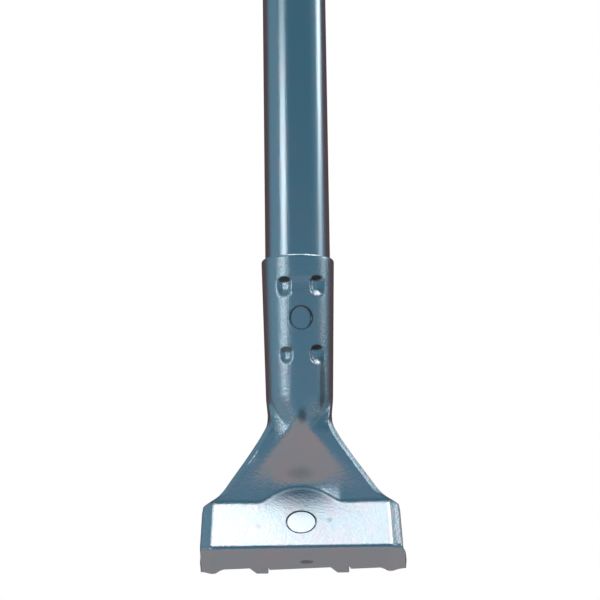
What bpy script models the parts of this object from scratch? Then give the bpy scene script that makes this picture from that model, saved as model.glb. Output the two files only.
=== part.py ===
"""A long-handled algae scraper: a pressed steel head crimped on a steel tube, with a bolted blade clamp.

World frame: +Z up along the handle, -Y towards the front of the head, +X to its right. The origin is
the centre of the hang hole at the top. Each piece is drawn in one of two frames below that:

- the head frame, whose origin is on the tube's axis at the valley where the neck meets the plate;
- the clamp frame, whose origin is the centre of the plate's hole on the plate's outer face, with +X
  across the head, +Y down the plate towards the lip, and +Z through the plate along the bolt.
"""
import math

import bmesh
import bpy
from mathutils import Matrix, Vector

# --- Handle (metres) ---
TUBE_DIAMETER = 0.03175
TUBE_WALL = 0.0012
HANDLE_LENGTH = 0.300        # tube above the socket's rim
GRIP_LENGTH = 0.125
GRIP_WALL = 0.0024
GRIP_RIB = 0.0009
GRIP_RIBS = 9
GRIP_COLLAR = 0.0045
GRIP_ROUND = 0.0010
RIB_SHARES = (0.15, 0.65, 0.80, 1.0)   # groove start, groove end, crest start, crest end
PLUG_SKIRT = 0.022           # part of the end plug inside the tube
PLUG_CAP = 0.004
PLUG_WALL = 0.0022
PLUG_HOLLOW_RISE = 0.0006    # how far the hollow runs into the cap
PLUG_LEAD = 0.0004           # taper that leads the skirt into the tube
PLUG_LEAD_LENGTH = 0.0015
PLUG_CHAMFER = 0.0018
TONGUE_RADIUS = 0.0105
TONGUE_THICKNESS = 0.006
HANG_HOLE_RADIUS = 0.0042
TONGUE_RISE = 0.0125         # hang hole's centre above the plug's cap

# --- Pressed head ---
SHEET = 0.0013
SOCKET_RIM = 0.1165          # rim's height above the valley
FLARE_HEIGHT = 0.038         # top of the triangular recess above the valley
SOCKET_TAPER = 0.0235        # radius lost for each metre down
SOCKET_PLAY = 0.0003
TUBE_INSERT = 0.0565         # length of tube inside the socket
HEAD_WIDTH = 0.0940
HEAD_FORWARD = 0.0080        # how far the valley stands in front of the tube's axis
PLATE_LENGTH = 0.0300        # valley to lip, along the slope
PLATE_SLOPE = math.radians(47.8)
PLATE_FLAT_SHARE = 0.88      # of the head's width, between the plate's side bends
PLATE_BEND = 0.0050          # depth of those bends
PLATE_BEND_LEAST = 0.0012    # their least width, at the valley
LIP_DEPTH = 0.0137           # how far the lip folds back, square to the plate
WALL_HEIGHT = 0.0085         # upright band between the recess and the plate
WALL_FORWARD = 0.0010
FLANGE_REAR = 0.0095         # rear edge of the side flanges, behind the tube's axis
FLANGE_REAR_NECK = 0.0060    # how much further back that edge is at the neck
FLANGE_REAR_BEND = 0.0060
CORNER_FOOT = 0.0017         # how far the lip's corners reach below its edge
RECESS_CORNER_ACROSS = 0.0240   # lower corners of the triangular recess
RECESS_CORNER_HEIGHT = 0.0115
RECESS_FOLD = 0.0010         # rounding of the folds along the recess
ARCH_HALF_WIDTH = 0.0192     # the plate runs up into the neck under an arch
ARCH_HEIGHT = 0.0077
ARCH_POWER = 1.3
NECK_BEND_WIDTH = 0.0028     # rounding of the neck's side edges: across
NECK_BEND_DEPTH = 0.0034     # and backwards
NECK_START = 1.30            # of the flare's height: where the socket starts to lose its roundness
NECK_CHANGE = 0.48           # and over how much of it
BEND_CHANGE = 0.0040         # height over which the neck's rounding becomes the plate's
SIDE_TURN = 0.60             # share of the side bends that turns at once
COLUMN_SHARE = 0.30          # least share of the width with the recess's close columns
CRIMP_HEIGHTS = (0.1012, 0.0680)
CRIMP_ANGLE = math.radians(27.0)
CRIMP_TURN = math.radians(4.5)
CRIMP_HALF_ANGLE = math.radians(15.0)
CRIMP_HALF_HEIGHT = 0.0050
CRIMP_DEPTH = 0.0012
TUBE_CRIMP_GROWTH = 1.3      # how much larger the crimps are in the tube inside
SOCKET_HOLE_HEIGHT = 0.0857
SOCKET_HOLE_RADIUS = 0.0055
PLATE_HOLE_SHARE = 0.46      # of the plate's length, from the valley to the hole
PLATE_HOLE_RADIUS = 0.0070
TAB_LENGTH = 0.0036
TAB_WIDTH = 0.0054
TAB_SLANT = 0.0032
TAB_ROOT = 0.0030            # how far a tab starts inside the lip
TAB_INSET = 0.0001
TAB_CENTRES = (-0.0181, 0.0191)

# --- Blade clamp ---
BOLT_DIAMETER = 0.0060
BOLT_HEAD_RADIUS = 0.0098
BOLT_HEAD_THICKNESS = 0.0014
BOLT_HEAD_ROUND = 0.0003
BOLT_CHAMFER = 0.0006
BOLT_BOSS_GAP = 0.0004       # around the boss that fills the plate's hole
BOLT_BOSS_DROP = 0.0002      # boss below the plate's outer face
BOLT_LENGTH = 0.0265         # from the plate's outer face to the bolt's end
BACKING_THICKNESS = 0.0015
BACKING_END_INSET = 0.0022   # room left at each end, inside the side bends
BACKING_LUG = 0.009
BACKING_LIP_ROOM = 0.0044    # front leg to the lip's inner face
BACKING_VALLEY_ROOM = 0.0013  # rear leg to the valley
BLADE_WIDTH = 0.0760
BLADE_DEPTH = 0.0380
BLADE_THICKNESS = 0.0008
BLADE_BEVEL = 0.0022
BLADE_BEVEL_SHARE = 0.85     # of the blade's thickness
CLAMP_WIDTH = 0.0640
CLAMP_LIP_ROOM = 0.0034
CLAMP_REAR = 0.0125
CLAMP_CORNER = 0.0040
CLAMP_EDGE_INSET = 0.0050
CLAMP_THICKNESS = 0.0015
CLAMP_STIFFENER = 0.0030
WASHER_THICKNESS = 0.0010
WASHER_RADIUS = 0.0065
LOCK_WASHER_THICKNESS = 0.0014
LOCK_WASHER_RADIUS = 0.0055
LOCK_SPLIT_WIDTH = 0.0010
LOCK_SPLIT_TURN = math.radians(37)
WING_NUT_HEIGHT = 0.0052
WING_NUT_RADIUS = 0.0056
WING_SPAN = 0.0270
WING_RISE = 0.0035           # how far the wings reach past the nut's hub
WING_THICKNESS = 0.0020
WING_EAR_RADIUS = 0.0036
WING_CLEARANCE = 0.0015      # between the wings and the nut's bearing face
WING_ROOT_DROP = 0.0008      # wings' roots below the hub's free end
EAR_START, EAR_STOP = -70, 130   # degrees of the ears' round tips
HUB_COLLAR = 0.0012
HUB_TAPER = 0.0010
HUB_OVERLAP = 0.0009

# --- Fits ---
SKIN_GAP = 0.0003            # between pieces that touch
BOLT_CLEARANCE = 0.0004      # around the bolt's shank
STOP_GAP = 0.0004            # between the blade and the tabs that stop it
OVERLAP = 0.0002             # how far joined shapes run into each other

# --- Meshing ---
ROUND = 32
SMALL_ROUND = 24
SOCKET_SPANS = ((50, 6), (62, 2), (72, 1), (112, 4), (177, 5))   # degrees from the front, steps
CUT_MARGIN = 0.004
SOFT = 0.0016                # blending radius between the head's pressed surfaces

# Outlines of the flare, as (share of its height above the valley, share of what is measured).
FLARE_WIDTH = ((1.06, 0.0), (0.90, 0.035), (0.65, 0.22), (0.27, 0.565), (0.075, 0.755), (-0.055, 0.983),
               (-0.12, 0.998), (-0.24, 1.0))
FLANGE_SPLAY = ((1.0, 0.0006), (0.50, 0.0008), (0.0, 0.0010), (-0.15, 0.0005))

# --- Worked-out sizes ---
TUBE_RADIUS = TUBE_DIAMETER / 2
SOCKET_RADIUS = TUBE_RADIUS + SKIN_GAP + SOCKET_PLAY + SHEET
SLOPE_ACROSS = math.cos(PLATE_SLOPE)
SLOPE_DOWN = math.sin(PLATE_SLOPE)
VALLEY_BEND_Z = -PLATE_LENGTH * SLOPE_DOWN
PLATE_HOLE_FROM_VALLEY = PLATE_LENGTH * PLATE_HOLE_SHARE
LIP_EDGE_Z = VALLEY_BEND_Z - LIP_DEPTH * SLOPE_ACROSS
HALF_WIDTH = HEAD_WIDTH / 2
PLATE_HOLE = Vector((0, -PLATE_HOLE_FROM_VALLEY * SLOPE_ACROSS - HEAD_FORWARD,
                     -PLATE_HOLE_FROM_VALLEY * SLOPE_DOWN))
GRIP_TOP = SOCKET_RIM + HANDLE_LENGTH
CAP_TOP = GRIP_TOP + SKIN_GAP + PLUG_CAP
HANG_HEIGHT = CAP_TOP + TONGUE_RISE
LIP_INSIDE = PLATE_LENGTH - PLATE_HOLE_FROM_VALLEY - SHEET
BACKING_FRONT = LIP_INSIDE - BACKING_LIP_ROOM
BACKING_REAR = PLATE_HOLE_FROM_VALLEY - BACKING_VALLEY_ROOM
CLAMP_FRONT = LIP_INSIDE - CLAMP_LIP_ROOM

# Depths through the clamp, from the plate's outer face along the bolt.
BOLT_HEAD_TOP = SHEET + SKIN_GAP
WEB_TOP = BOLT_HEAD_TOP + BOLT_HEAD_THICKNESS + SKIN_GAP
BLADE_TOP = LIP_DEPTH + SKIN_GAP
CLAMP_TOP = BLADE_TOP + BLADE_THICKNESS + SKIN_GAP
WASHER_TOP = CLAMP_TOP + CLAMP_THICKNESS + SKIN_GAP
LOCK_WASHER_TOP = WASHER_TOP + WASHER_THICKNESS + SKIN_GAP
WING_NUT_TOP = LOCK_WASHER_TOP + LOCK_WASHER_THICKNESS + SKIN_GAP
BOLT_RADIUS = BOLT_DIAMETER / 2
BOLT_HOLE_RADIUS = BOLT_RADIUS + BOLT_CLEARANCE


# --- Small mathematics ---

def smooth_step(value):
    """Ease from 0 to 1 as value goes from 0 to 1."""
    value = min(max(value, 0.0), 1.0)
    return value * value * (3 - 2 * value)


def soft_min(a, b, radius=SOFT):
    """The smaller of two numbers, rounded where they cross."""
    mix = max(radius - abs(a - b), 0.0) / radius
    return min(a, b) - mix * mix * radius / 4


def soft_max(a, b, radius=SOFT):
    """The larger of two numbers, rounded where they cross."""
    return -soft_min(-a, -b, radius)


def through(points, at):
    """Read a smooth curve that passes through points, given in falling order of their first number."""
    if at >= points[0][0]:
        return points[0][1]
    for (a, value_a), (b, value_b) in zip(points, points[1:]):
        if at >= b:
            break
    else:
        return points[-1][1]
    index = points.index((b, value_b))
    before = points[max(index - 2, 0)]
    after = points[min(index + 1, len(points) - 1)]
    span = b - a
    slope_a = (value_b - before[1]) / (b - before[0]) * span
    slope_b = (after[1] - value_a) / (after[0] - a) * span
    t = (at - a) / span
    return ((2 * t**3 - 3 * t**2 + 1) * value_a + (t**3 - 2 * t**2 + t) * slope_a
            + (3 * t**2 - 2 * t**3) * value_b + (t**3 - t**2) * slope_b)


# --- The pressed head's surface ---

def socket_radius(height):
    """Outer radius of the tapered socket at a height above the valley."""
    drop = min(SOCKET_RIM - height, SOCKET_RIM - FLARE_HEIGHT)
    return SOCKET_RADIUS - SOCKET_TAPER * drop


def crimp_depth(angle, height, growth=1.0):
    """How deep the crimps press the sheet at an angle from the front and a height."""
    depth = 0.0
    for centre in CRIMP_HEIGHTS:
        for side in (-1, 1):
            across = (angle - CRIMP_TURN - side * CRIMP_ANGLE) / (CRIMP_HALF_ANGLE * growth)
            along = (height - centre) / (CRIMP_HALF_HEIGHT * growth)
            share = smooth_step(1.35 * (1 - math.hypot(across, along)))
            depth = max(depth, CRIMP_DEPTH * growth * share)
    return depth


def half_width(height):
    """Half the head's width at a height, from the socket down to the lip."""
    neck = socket_radius(FLARE_HEIGHT)
    return neck + (HALF_WIDTH - neck) * through(FLARE_WIDTH, height / FLARE_HEIGHT)


def plate_front(height):
    """Depth of the sloping plate's outer face."""
    return height * SLOPE_ACROSS / SLOPE_DOWN - HEAD_FORWARD


def lip_front(height):
    """Depth of the lip's outer face, folded square to the plate."""
    return plate_front(VALLEY_BEND_Z) + (VALLEY_BEND_Z - height) * SLOPE_DOWN / SLOPE_ACROSS


def arch_height(across):
    """How high the plate runs up under the arch, at a distance from the middle."""
    inside = max(1 - (across / ARCH_HALF_WIDTH) ** 2, 0.0)
    return ARCH_HEIGHT * inside ** ARCH_POWER


def recess_front(across, height):
    """Depth of the triangular recess and of the upright wall below it, which the arch bows backwards."""
    wall = plate_front(arch_height(across)) - WALL_FORWARD
    slope = (socket_radius(FLARE_HEIGHT) + wall) / (FLARE_HEIGHT - WALL_HEIGHT)
    return soft_min(wall, wall - (height - WALL_HEIGHT) * slope)


def recess_half_width(height):
    """Half the width of the triangular recess, which narrows evenly to its top."""
    share = (FLARE_HEIGHT - height) / (FLARE_HEIGHT - RECESS_CORNER_HEIGHT)
    return RECESS_CORNER_ACROSS * min(max(share, 0.0), 1.0)


def neck_front(across, height):
    """Depth of the neck: the recess and the upright wings that fold back from its two sides."""
    slant = (FLARE_HEIGHT - RECESS_CORNER_HEIGHT) / RECESS_CORNER_ACROSS
    fold = FLARE_HEIGHT - abs(across) * slant
    return soft_max(recess_front(across, height), recess_front(across, fold), RECESS_FOLD)


def head_front(across, height):
    """Depth of the head's outer face, seen from the front."""
    front = soft_min(neck_front(across, height), plate_front(height))
    return soft_max(front, lip_front(height))


def flange_rear(height, corner):
    """Depth of the side flange's rear edge, which follows the pan's rim and then the neck."""
    rim = lip_front(LIP_EDGE_Z) + (height - LIP_EDGE_Z) * SLOPE_ACROSS / SLOPE_DOWN
    neck = smooth_step((height / FLARE_HEIGHT - 0.5) * 2)
    return max(soft_min(rim, FLANGE_REAR + neck * FLANGE_REAR_NECK, FLANGE_REAR_BEND), corner + SHEET)


def open_section(height, steps):
    """Half a slice through the flare or the pan: front face, rounded side and rearward flange."""
    splay = through(FLANGE_SPLAY, height / FLARE_HEIGHT)
    side = half_width(height) - splay
    plate_width = max(side - HALF_WIDTH * PLATE_FLAT_SHARE, PLATE_BEND_LEAST)
    below = smooth_step(1 - height / BEND_CHANGE)
    bend_width = NECK_BEND_WIDTH + (plate_width - NECK_BEND_WIDTH) * below
    bend_depth = NECK_BEND_DEPTH + (PLATE_BEND - NECK_BEND_DEPTH) * below
    face_end = side - bend_width
    recess_end = max(recess_half_width(height), side * COLUMN_SHARE)
    recess_end = min(recess_end, face_end - SOFT * 1.2)
    stops = (0.0, recess_end, recess_end + SOFT, face_end)
    points = [(0.0, head_front(0.0, height))]
    for start, stop, count in zip(stops, stops[1:], steps[:3]):
        for step in range(1, count + 1):
            across = start + (stop - start) * step / count
            points.append((across, head_front(across, height)))
    face = points[-1][1]
    corner = face + bend_depth
    for step in range(1, steps[3] + 1):
        turn = math.pi / 2 * step / steps[3]
        out, back = math.sin(turn), 1 - math.cos(turn)
        back += (out - back) * (1 - back) * SIDE_TURN
        points.append((face_end + bend_width * out, face + bend_depth * back))
    rear = flange_rear(height, corner)
    for step in range(1, steps[4] + 1):
        share = step / steps[4]
        points.append((side + splay * share, corner + (rear - corner) * share))
    return points


def round_section(height, spans):
    """Half a slice through the socket, from its front round to the seam at the back."""
    radius = socket_radius(height)
    points = [(0.0, -radius)]
    start = 0.0
    for stop, count in spans:
        for step in range(1, count + 1):
            angle = math.radians(start + (stop - start) * step / count)
            points.append((radius * math.sin(angle), -radius * math.cos(angle)))
        start = stop
    return points


def half_slice(height, spans):
    """Half a slice through the head at any height, changing smoothly from socket to flare."""
    steps = [count for _, count in spans]
    mix = smooth_step((FLARE_HEIGHT * NECK_START - height) / (FLARE_HEIGHT * NECK_CHANGE))
    if mix == 0.0:
        return round_section(height, spans)
    points = open_section(height, steps)
    if mix == 1.0:
        return points
    ring = round_section(height, spans)
    mixed = []
    for (open_x, open_y), (ring_x, ring_y) in zip(points, ring):
        across = ring_x + (open_x - ring_x) * mix
        depth = ring_y + (open_y - ring_y) * mix
        inside = smooth_step((recess_half_width(height) + SOFT / 2 - across) / SOFT)
        depth += inside * max(neck_front(across, height) - depth, 0.0)
        mixed.append((across, depth))
    return mixed


def head_heights():
    """Heights of the head's rows, close together where it is pressed or bent."""
    heights = [SOCKET_RIM]
    for centre in CRIMP_HEIGHTS:
        for share in (1.5, 1.0, 0.6, 0.3, 0.0, -0.3, -0.6, -1.0, -1.5):
            heights.append(centre + share * CRIMP_HALF_HEIGHT)
    for share in (1.38, 1.27, 1.18, 1.09, 1.01, 0.94, 0.87, 0.79, 0.70, 0.60, 0.50, 0.40, 0.31):
        heights.append(share * FLARE_HEIGHT)
    for share in (1.35, 1.15, 0.95, 0.7, 0.4, 0.1):
        heights.append(share * ARCH_HEIGHT)
    for share in (0.03, 0.09, 0.15, 0.22, 0.42, 0.68, 0.88, 0.95, 1.0):
        heights.append(share * VALLEY_BEND_Z)
    return heights


def lip_rows(spans, shares=(0.06, 0.14, 0.35, 0.68, 1.0)):
    """Rows of the lip: each point goes straight down its own column to the lip's edge or a corner foot."""
    steps = [count for _, count in spans]
    face_points = sum(steps[:3])
    rows = []
    for share in shares:
        row = []
        for index in range(sum(steps) + 1):
            foot = CORNER_FOOT * smooth_step((index - face_points + 1) / steps[3])
            edge = LIP_EDGE_Z - foot
            height = VALLEY_BEND_Z + (edge - VALLEY_BEND_Z) * share
            across, depth = open_section(height, steps)[index]
            row.append(Vector((across, depth, height)))
        rows.append(row)
    return rows


def head_rows(spans=SOCKET_SPANS):
    """Every row of the head's outer face, each from the left edge to the right."""
    halves = [[Vector((across, depth, height)) for across, depth in half_slice(height, spans)]
              for height in head_heights()]
    halves += lip_rows(spans)
    rows = []
    for half in halves:
        left = [Vector((-point.x, point.y, point.z)) for point in reversed(half[1:])]
        rows.append([crimped(point) for point in left + half])
    return rows


def crimped(point):
    """Push a point of the socket towards the tube's axis where a crimp is pressed."""
    angle = math.atan2(point.x, -point.y)
    depth = crimp_depth(angle, point.z)
    if depth == 0.0:
        return point
    inward = Vector((-point.x, -point.y, 0)).normalized()
    return point + inward * depth


# --- Building tools ---

def clear_scene():
    """Remove whatever the file opened with."""
    for thing in list(bpy.data.objects):
        bpy.data.objects.remove(thing, do_unlink=True)


def finish_material(name, colour, metallic, roughness):
    """A plain Principled material."""
    material = bpy.data.materials.new(name)
    material.use_nodes = True
    shader = material.node_tree.nodes["Principled BSDF"]
    shader.inputs["Base Color"].default_value = (*colour, 1)
    shader.inputs["Metallic"].default_value = metallic
    shader.inputs["Roughness"].default_value = roughness
    material.diffuse_color = (*colour, 1)
    return material


def frame_empty(name, location, turn, parent=None):
    """An empty that carries the pieces drawn in its frame."""
    empty = bpy.data.objects.new(name, None)
    bpy.context.collection.objects.link(empty)
    empty.location = location
    empty.rotation_euler = turn
    empty.parent = parent
    return empty


def piece(name, shape, material, parent, smooth=True):
    """Turn a bmesh into a named object in a frame."""
    bmesh.ops.recalc_face_normals(shape, faces=shape.faces)
    mesh = bpy.data.meshes.new(name)
    shape.to_mesh(mesh)
    shape.free()
    if smooth:
        mesh.shade_smooth()
        mesh.set_sharp_from_angle(angle=math.radians(35))
    thing = bpy.data.objects.new(name, mesh)
    bpy.context.collection.objects.link(thing)
    thing.parent = parent
    if material:
        mesh.materials.append(material)
    return thing


def combine(target, tool, operation):
    """Cut with, or join, a hidden tool."""
    tool.hide_render = True
    tool.display_type = "WIRE"
    change = target.modifiers.new(tool.name, "BOOLEAN")
    change.operation = operation
    change.object = tool
    change.solver = "EXACT"


def turned(profile, segments):
    """Turn a profile of (radius, height) points about Z; its ends close on the axis or on each other."""
    shape = bmesh.new()
    closed_ring = profile[0][0] > 0 and profile[-1][0] > 0
    rings = []
    for radius, height in profile:
        if radius == 0:
            rings.append([shape.verts.new((0, 0, height))])
            continue
        rings.append([shape.verts.new((radius * math.cos(2 * math.pi * step / segments),
                                       radius * math.sin(2 * math.pi * step / segments), height))
                      for step in range(segments)])
    pairs = list(zip(rings, rings[1:]))
    if closed_ring:
        pairs.append((rings[-1], rings[0]))
    for lower, upper in pairs:
        for step in range(segments):
            after = (step + 1) % segments
            corners = [lower[step % len(lower)], lower[after % len(lower)],
                       upper[after % len(upper)], upper[step % len(upper)]]
            shape.faces.new(list(dict.fromkeys(corners)))
    return shape


def extruded(outline, start, stop, place=lambda across, along, depth: (across, along, depth)):
    """A prism whose outline, in the first two directions, runs from start to stop in the third."""
    shape = bmesh.new()
    first = [shape.verts.new(place(a, b, start)) for a, b in outline]
    last = [shape.verts.new(place(a, b, stop)) for a, b in outline]
    shape.faces.new(list(reversed(first)))
    shape.faces.new(last)
    for index in range(len(outline)):
        after = (index + 1) % len(outline)
        shape.faces.new((first[index], first[after], last[after], last[index]))
    return shape


def box(low, high):
    """A block between two corners."""
    outline = ((low[0], low[1]), (high[0], low[1]), (high[0], high[1]), (low[0], high[1]))
    return extruded(outline, low[2], high[2])


def rounded_outline(left, bottom, right, top, radius, steps=4):
    """A rectangle with round corners, anticlockwise."""
    outline = []
    corners = ((right - radius, bottom + radius, -90), (right - radius, top - radius, 0),
               (left + radius, top - radius, 90), (left + radius, bottom + radius, 180))
    for x, y, start in corners:
        for step in range(steps + 1):
            angle = math.radians(start + 90 * step / steps)
            outline.append((x + radius * math.cos(angle), y + radius * math.sin(angle)))
    return outline


# --- Handle pieces ---

def tube_outline(angle, height):
    """Outer radius of the tube, swaged and crimped where it sits inside the socket."""
    socket = socket_radius(height) - SHEET - SKIN_GAP
    return min(TUBE_RADIUS, socket) - crimp_depth(angle, height, TUBE_CRIMP_GROWTH)


def make_tube(frame, material):
    """The steel tube of the handle, open at both ends."""
    bottom = SOCKET_RIM - TUBE_INSERT
    heights = [bottom] + [height for height in reversed(head_heights()) if height > bottom + 0.001]
    heights += [SOCKET_RIM + HANDLE_LENGTH / 2, GRIP_TOP]
    segments = ROUND + 8
    loops = [(height, 0.0) for height in heights] + [(height, TUBE_WALL) for height in reversed(heights)]
    shape = bmesh.new()
    rings = []
    for height, wall in loops:
        ring = []
        for step in range(segments):
            angle = 2 * math.pi * step / segments
            radius = tube_outline((angle + math.pi) % (2 * math.pi) - math.pi, height) - wall
            ring.append(shape.verts.new((radius * math.sin(angle), -radius * math.cos(angle), height)))
        rings.append(ring)
    for lower, upper in zip(rings, rings[1:] + rings[:1]):
        for step in range(segments):
            after = (step + 1) % segments
            shape.faces.new((lower[step], lower[after], upper[after], upper[step]))
    return piece("handle_tube", shape, material, frame)


def make_grip(frame, material):
    """The soft sleeve over the top of the tube, with raised rings."""
    inner = TUBE_RADIUS + SKIN_GAP
    outer = inner + GRIP_WALL
    bottom = GRIP_TOP - GRIP_LENGTH
    crest = outer + GRIP_RIB
    pitch = (GRIP_LENGTH - 2 * GRIP_COLLAR) / GRIP_RIBS
    profile = [(inner, GRIP_TOP), (outer, GRIP_TOP), (crest, GRIP_TOP - GRIP_ROUND),
               (crest, GRIP_TOP - GRIP_COLLAR)]
    for rib in range(GRIP_RIBS):
        start = GRIP_TOP - GRIP_COLLAR - rib * pitch
        radii = (outer, outer, crest, crest)
        profile += [(radius, start - pitch * share) for radius, share in zip(radii, RIB_SHARES)]
    profile += [(crest, bottom + GRIP_ROUND), (outer, bottom), (inner, bottom)]
    return piece("hand_grip", turned(profile, ROUND), material, frame)


def make_end_plug(frame, material):
    """The plug in the tube's top end, with a flat tongue to hang it by."""
    skirt = TUBE_RADIUS - TUBE_WALL - SKIN_GAP
    bore = skirt - PLUG_WALL
    rim = TUBE_RADIUS + SKIN_GAP + GRIP_WALL
    seat = GRIP_TOP + SKIN_GAP
    low = GRIP_TOP - PLUG_SKIRT
    profile = [(0, seat + PLUG_HOLLOW_RISE), (bore, seat + PLUG_HOLLOW_RISE), (bore, low),
               (skirt - PLUG_LEAD, low), (skirt, low + PLUG_LEAD_LENGTH), (skirt, seat), (rim, seat),
               (rim, CAP_TOP - PLUG_CHAMFER), (rim - PLUG_CHAMFER, CAP_TOP), (0, CAP_TOP)]
    plug = piece("end_plug", turned(profile, ROUND), material, frame)
    outline = [(-TONGUE_RADIUS, CAP_TOP - PLUG_CAP / 2), (TONGUE_RADIUS, CAP_TOP - PLUG_CAP / 2)]
    steps = SMALL_ROUND // 2
    for step in range(steps + 1):
        angle = math.pi * step / steps
        outline.append((TONGUE_RADIUS * math.cos(angle), HANG_HEIGHT + TONGUE_RADIUS * math.sin(angle)))
    tongue = extruded(outline, -TONGUE_THICKNESS / 2, TONGUE_THICKNESS / 2, lambda x, z, y: (x, y, z))
    combine(plug, piece("tongue_tool", tongue, None, frame), "UNION")
    reach = TONGUE_THICKNESS / 2 + CUT_MARGIN
    profile = [(0, -reach), (HANG_HOLE_RADIUS, -reach), (HANG_HOLE_RADIUS, reach), (0, reach)]
    hole = turned(profile, SMALL_ROUND)
    bmesh.ops.rotate(hole, verts=hole.verts, matrix=Matrix.Rotation(math.pi / 2, 3, "X"))
    bmesh.ops.translate(hole, verts=hole.verts, vec=(0, 0, HANG_HEIGHT))
    combine(plug, piece("hang_hole_tool", hole, None, frame), "DIFFERENCE")
    return plug


# --- Head ---

def make_head(frame, clamp_frame, material):
    """The one-piece pressed head: socket, neck, plate, side flanges and lip."""
    shape = bmesh.new()
    rows = [[shape.verts.new(point) for point in row] for row in head_rows()]
    for upper, lower in zip(rows, rows[1:]):
        for index in range(len(upper) - 1):
            shape.faces.new((upper[index], lower[index], lower[index + 1], upper[index + 1]))
    head = piece("scraper_head", shape, material, frame)
    outwards = head.data.polygons[0].center * Vector((1, 1, 0))
    if head.data.polygons[0].normal.dot(outwards) < 0:
        head.data.flip_normals()
    wall = head.modifiers.new("sheet", "SOLIDIFY")
    wall.thickness = SHEET
    wall.offset = -1
    wall.use_even_offset = True
    for number, centre in enumerate(TAB_CENTRES):
        combine(head, make_tab_tool(clamp_frame, number, centre), "UNION")
    combine(head, make_plate_hole_tool(clamp_frame), "DIFFERENCE")
    combine(head, make_socket_hole_tool(frame), "DIFFERENCE")
    return head


def make_tab_tool(clamp_frame, number, centre):
    """A small tab below the lip's edge, with one slanted side and one square side."""
    left = centre - TAB_WIDTH / 2
    right = centre + TAB_WIDTH / 2
    root = LIP_DEPTH - TAB_ROOT
    end = LIP_DEPTH + TAB_LENGTH
    slant_root = left - TAB_SLANT * (end - root) / TAB_LENGTH
    outline = ((slant_root, root), (right, root), (right, end), (left, end))
    shape = extruded(outline, LIP_INSIDE + TAB_INSET, LIP_INSIDE + SHEET - TAB_INSET,
                     lambda across, depth, along: (across, along, depth))
    return piece(f"tab_tool_{number}", shape, None, clamp_frame)


def make_plate_hole_tool(clamp_frame):
    """The round hole through the plate, over the bolt's head."""
    profile = [(0, -CUT_MARGIN), (PLATE_HOLE_RADIUS, -CUT_MARGIN), (PLATE_HOLE_RADIUS, CUT_MARGIN),
               (0, CUT_MARGIN)]
    return piece("plate_hole_tool", turned(profile, SMALL_ROUND), None, clamp_frame)


def make_socket_hole_tool(frame):
    """The round hole through the socket's front, between the crimps."""
    near = socket_radius(SOCKET_HOLE_HEIGHT) - CUT_MARGIN
    far = near + 2 * CUT_MARGIN
    profile = [(0, near), (SOCKET_HOLE_RADIUS, near), (SOCKET_HOLE_RADIUS, far), (0, far)]
    shape = turned(profile, SMALL_ROUND)
    bmesh.ops.rotate(shape, verts=shape.verts, matrix=Matrix.Rotation(math.pi / 2, 3, "X"))
    bmesh.ops.rotate(shape, verts=shape.verts, matrix=Matrix.Rotation(CRIMP_TURN, 3, "Z"))
    bmesh.ops.translate(shape, verts=shape.verts, vec=(0, 0, SOCKET_HOLE_HEIGHT))
    return piece("socket_hole_tool", shape, None, frame)


# --- Blade clamp pieces, drawn in the clamp frame ---

def make_backing(frame, material):
    """The channel welded inside the pan: a web behind the bolt's head and two legs that seat the blade."""
    half = HALF_WIDTH * PLATE_FLAT_SHARE - BACKING_END_INSET
    raised = SHEET + SKIN_GAP
    step_in = half - BACKING_LUG
    step_out = step_in + (WEB_TOP - raised)
    low = WEB_TOP + BACKING_THICKNESS
    raised_low = raised + BACKING_THICKNESS
    top = [(step_in, WEB_TOP), (step_out, raised), (half, raised)]
    under = [(half, raised_low), (step_out + BACKING_THICKNESS / 2, raised_low),
             (step_in + BACKING_THICKNESS / 2, low)]
    right = top + under
    outline = [(-x, w) for x, w in reversed(top)] + right + [(-x, w) for x, w in reversed(under)]
    shape = extruded(outline, -BACKING_REAR, BACKING_FRONT, lambda x, w, along: (x, along, w))
    backing = piece("blade_backing", shape, material, frame)
    legs = ((-BACKING_REAR - OVERLAP, "rear"), (BACKING_FRONT + OVERLAP - BACKING_THICKNESS, "front"))
    for start, side in legs:
        leg = box((-step_in, start, WEB_TOP + OVERLAP), (step_in, start + BACKING_THICKNESS, LIP_DEPTH))
        combine(backing, piece(f"{side}_leg_tool", leg, None, frame), "UNION")
    combine(backing, bolt_hole_tool(frame, "backing_hole_tool", WEB_TOP), "DIFFERENCE")
    return backing


def bolt_hole_tool(frame, name, depth):
    """A cutter for the bolt's clearance hole through a sheet at a depth."""
    profile = [(0, depth - CUT_MARGIN), (BOLT_HOLE_RADIUS, depth - CUT_MARGIN),
               (BOLT_HOLE_RADIUS, depth + CUT_MARGIN), (0, depth + CUT_MARGIN)]
    return piece(name, turned(profile, SMALL_ROUND), None, frame)


def make_bolt(frame, material):
    """The clamp bolt: a flat head held between plate and backing, whose boss fills the plate's hole."""
    head_end = BOLT_HEAD_TOP + BOLT_HEAD_THICKNESS
    boss = PLATE_HOLE_RADIUS - BOLT_BOSS_GAP
    profile = [(0, BOLT_BOSS_DROP), (boss, BOLT_BOSS_DROP), (boss, BOLT_HEAD_TOP),
               (BOLT_HEAD_RADIUS - BOLT_HEAD_ROUND, BOLT_HEAD_TOP),
               (BOLT_HEAD_RADIUS, BOLT_HEAD_TOP + BOLT_HEAD_ROUND), (BOLT_HEAD_RADIUS, head_end),
               (BOLT_RADIUS, head_end), (BOLT_RADIUS, BOLT_LENGTH - BOLT_CHAMFER),
               (BOLT_RADIUS - BOLT_CHAMFER, BOLT_LENGTH), (0, BOLT_LENGTH)]
    return piece("clamp_bolt", turned(profile, SMALL_ROUND), material, frame)


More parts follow.
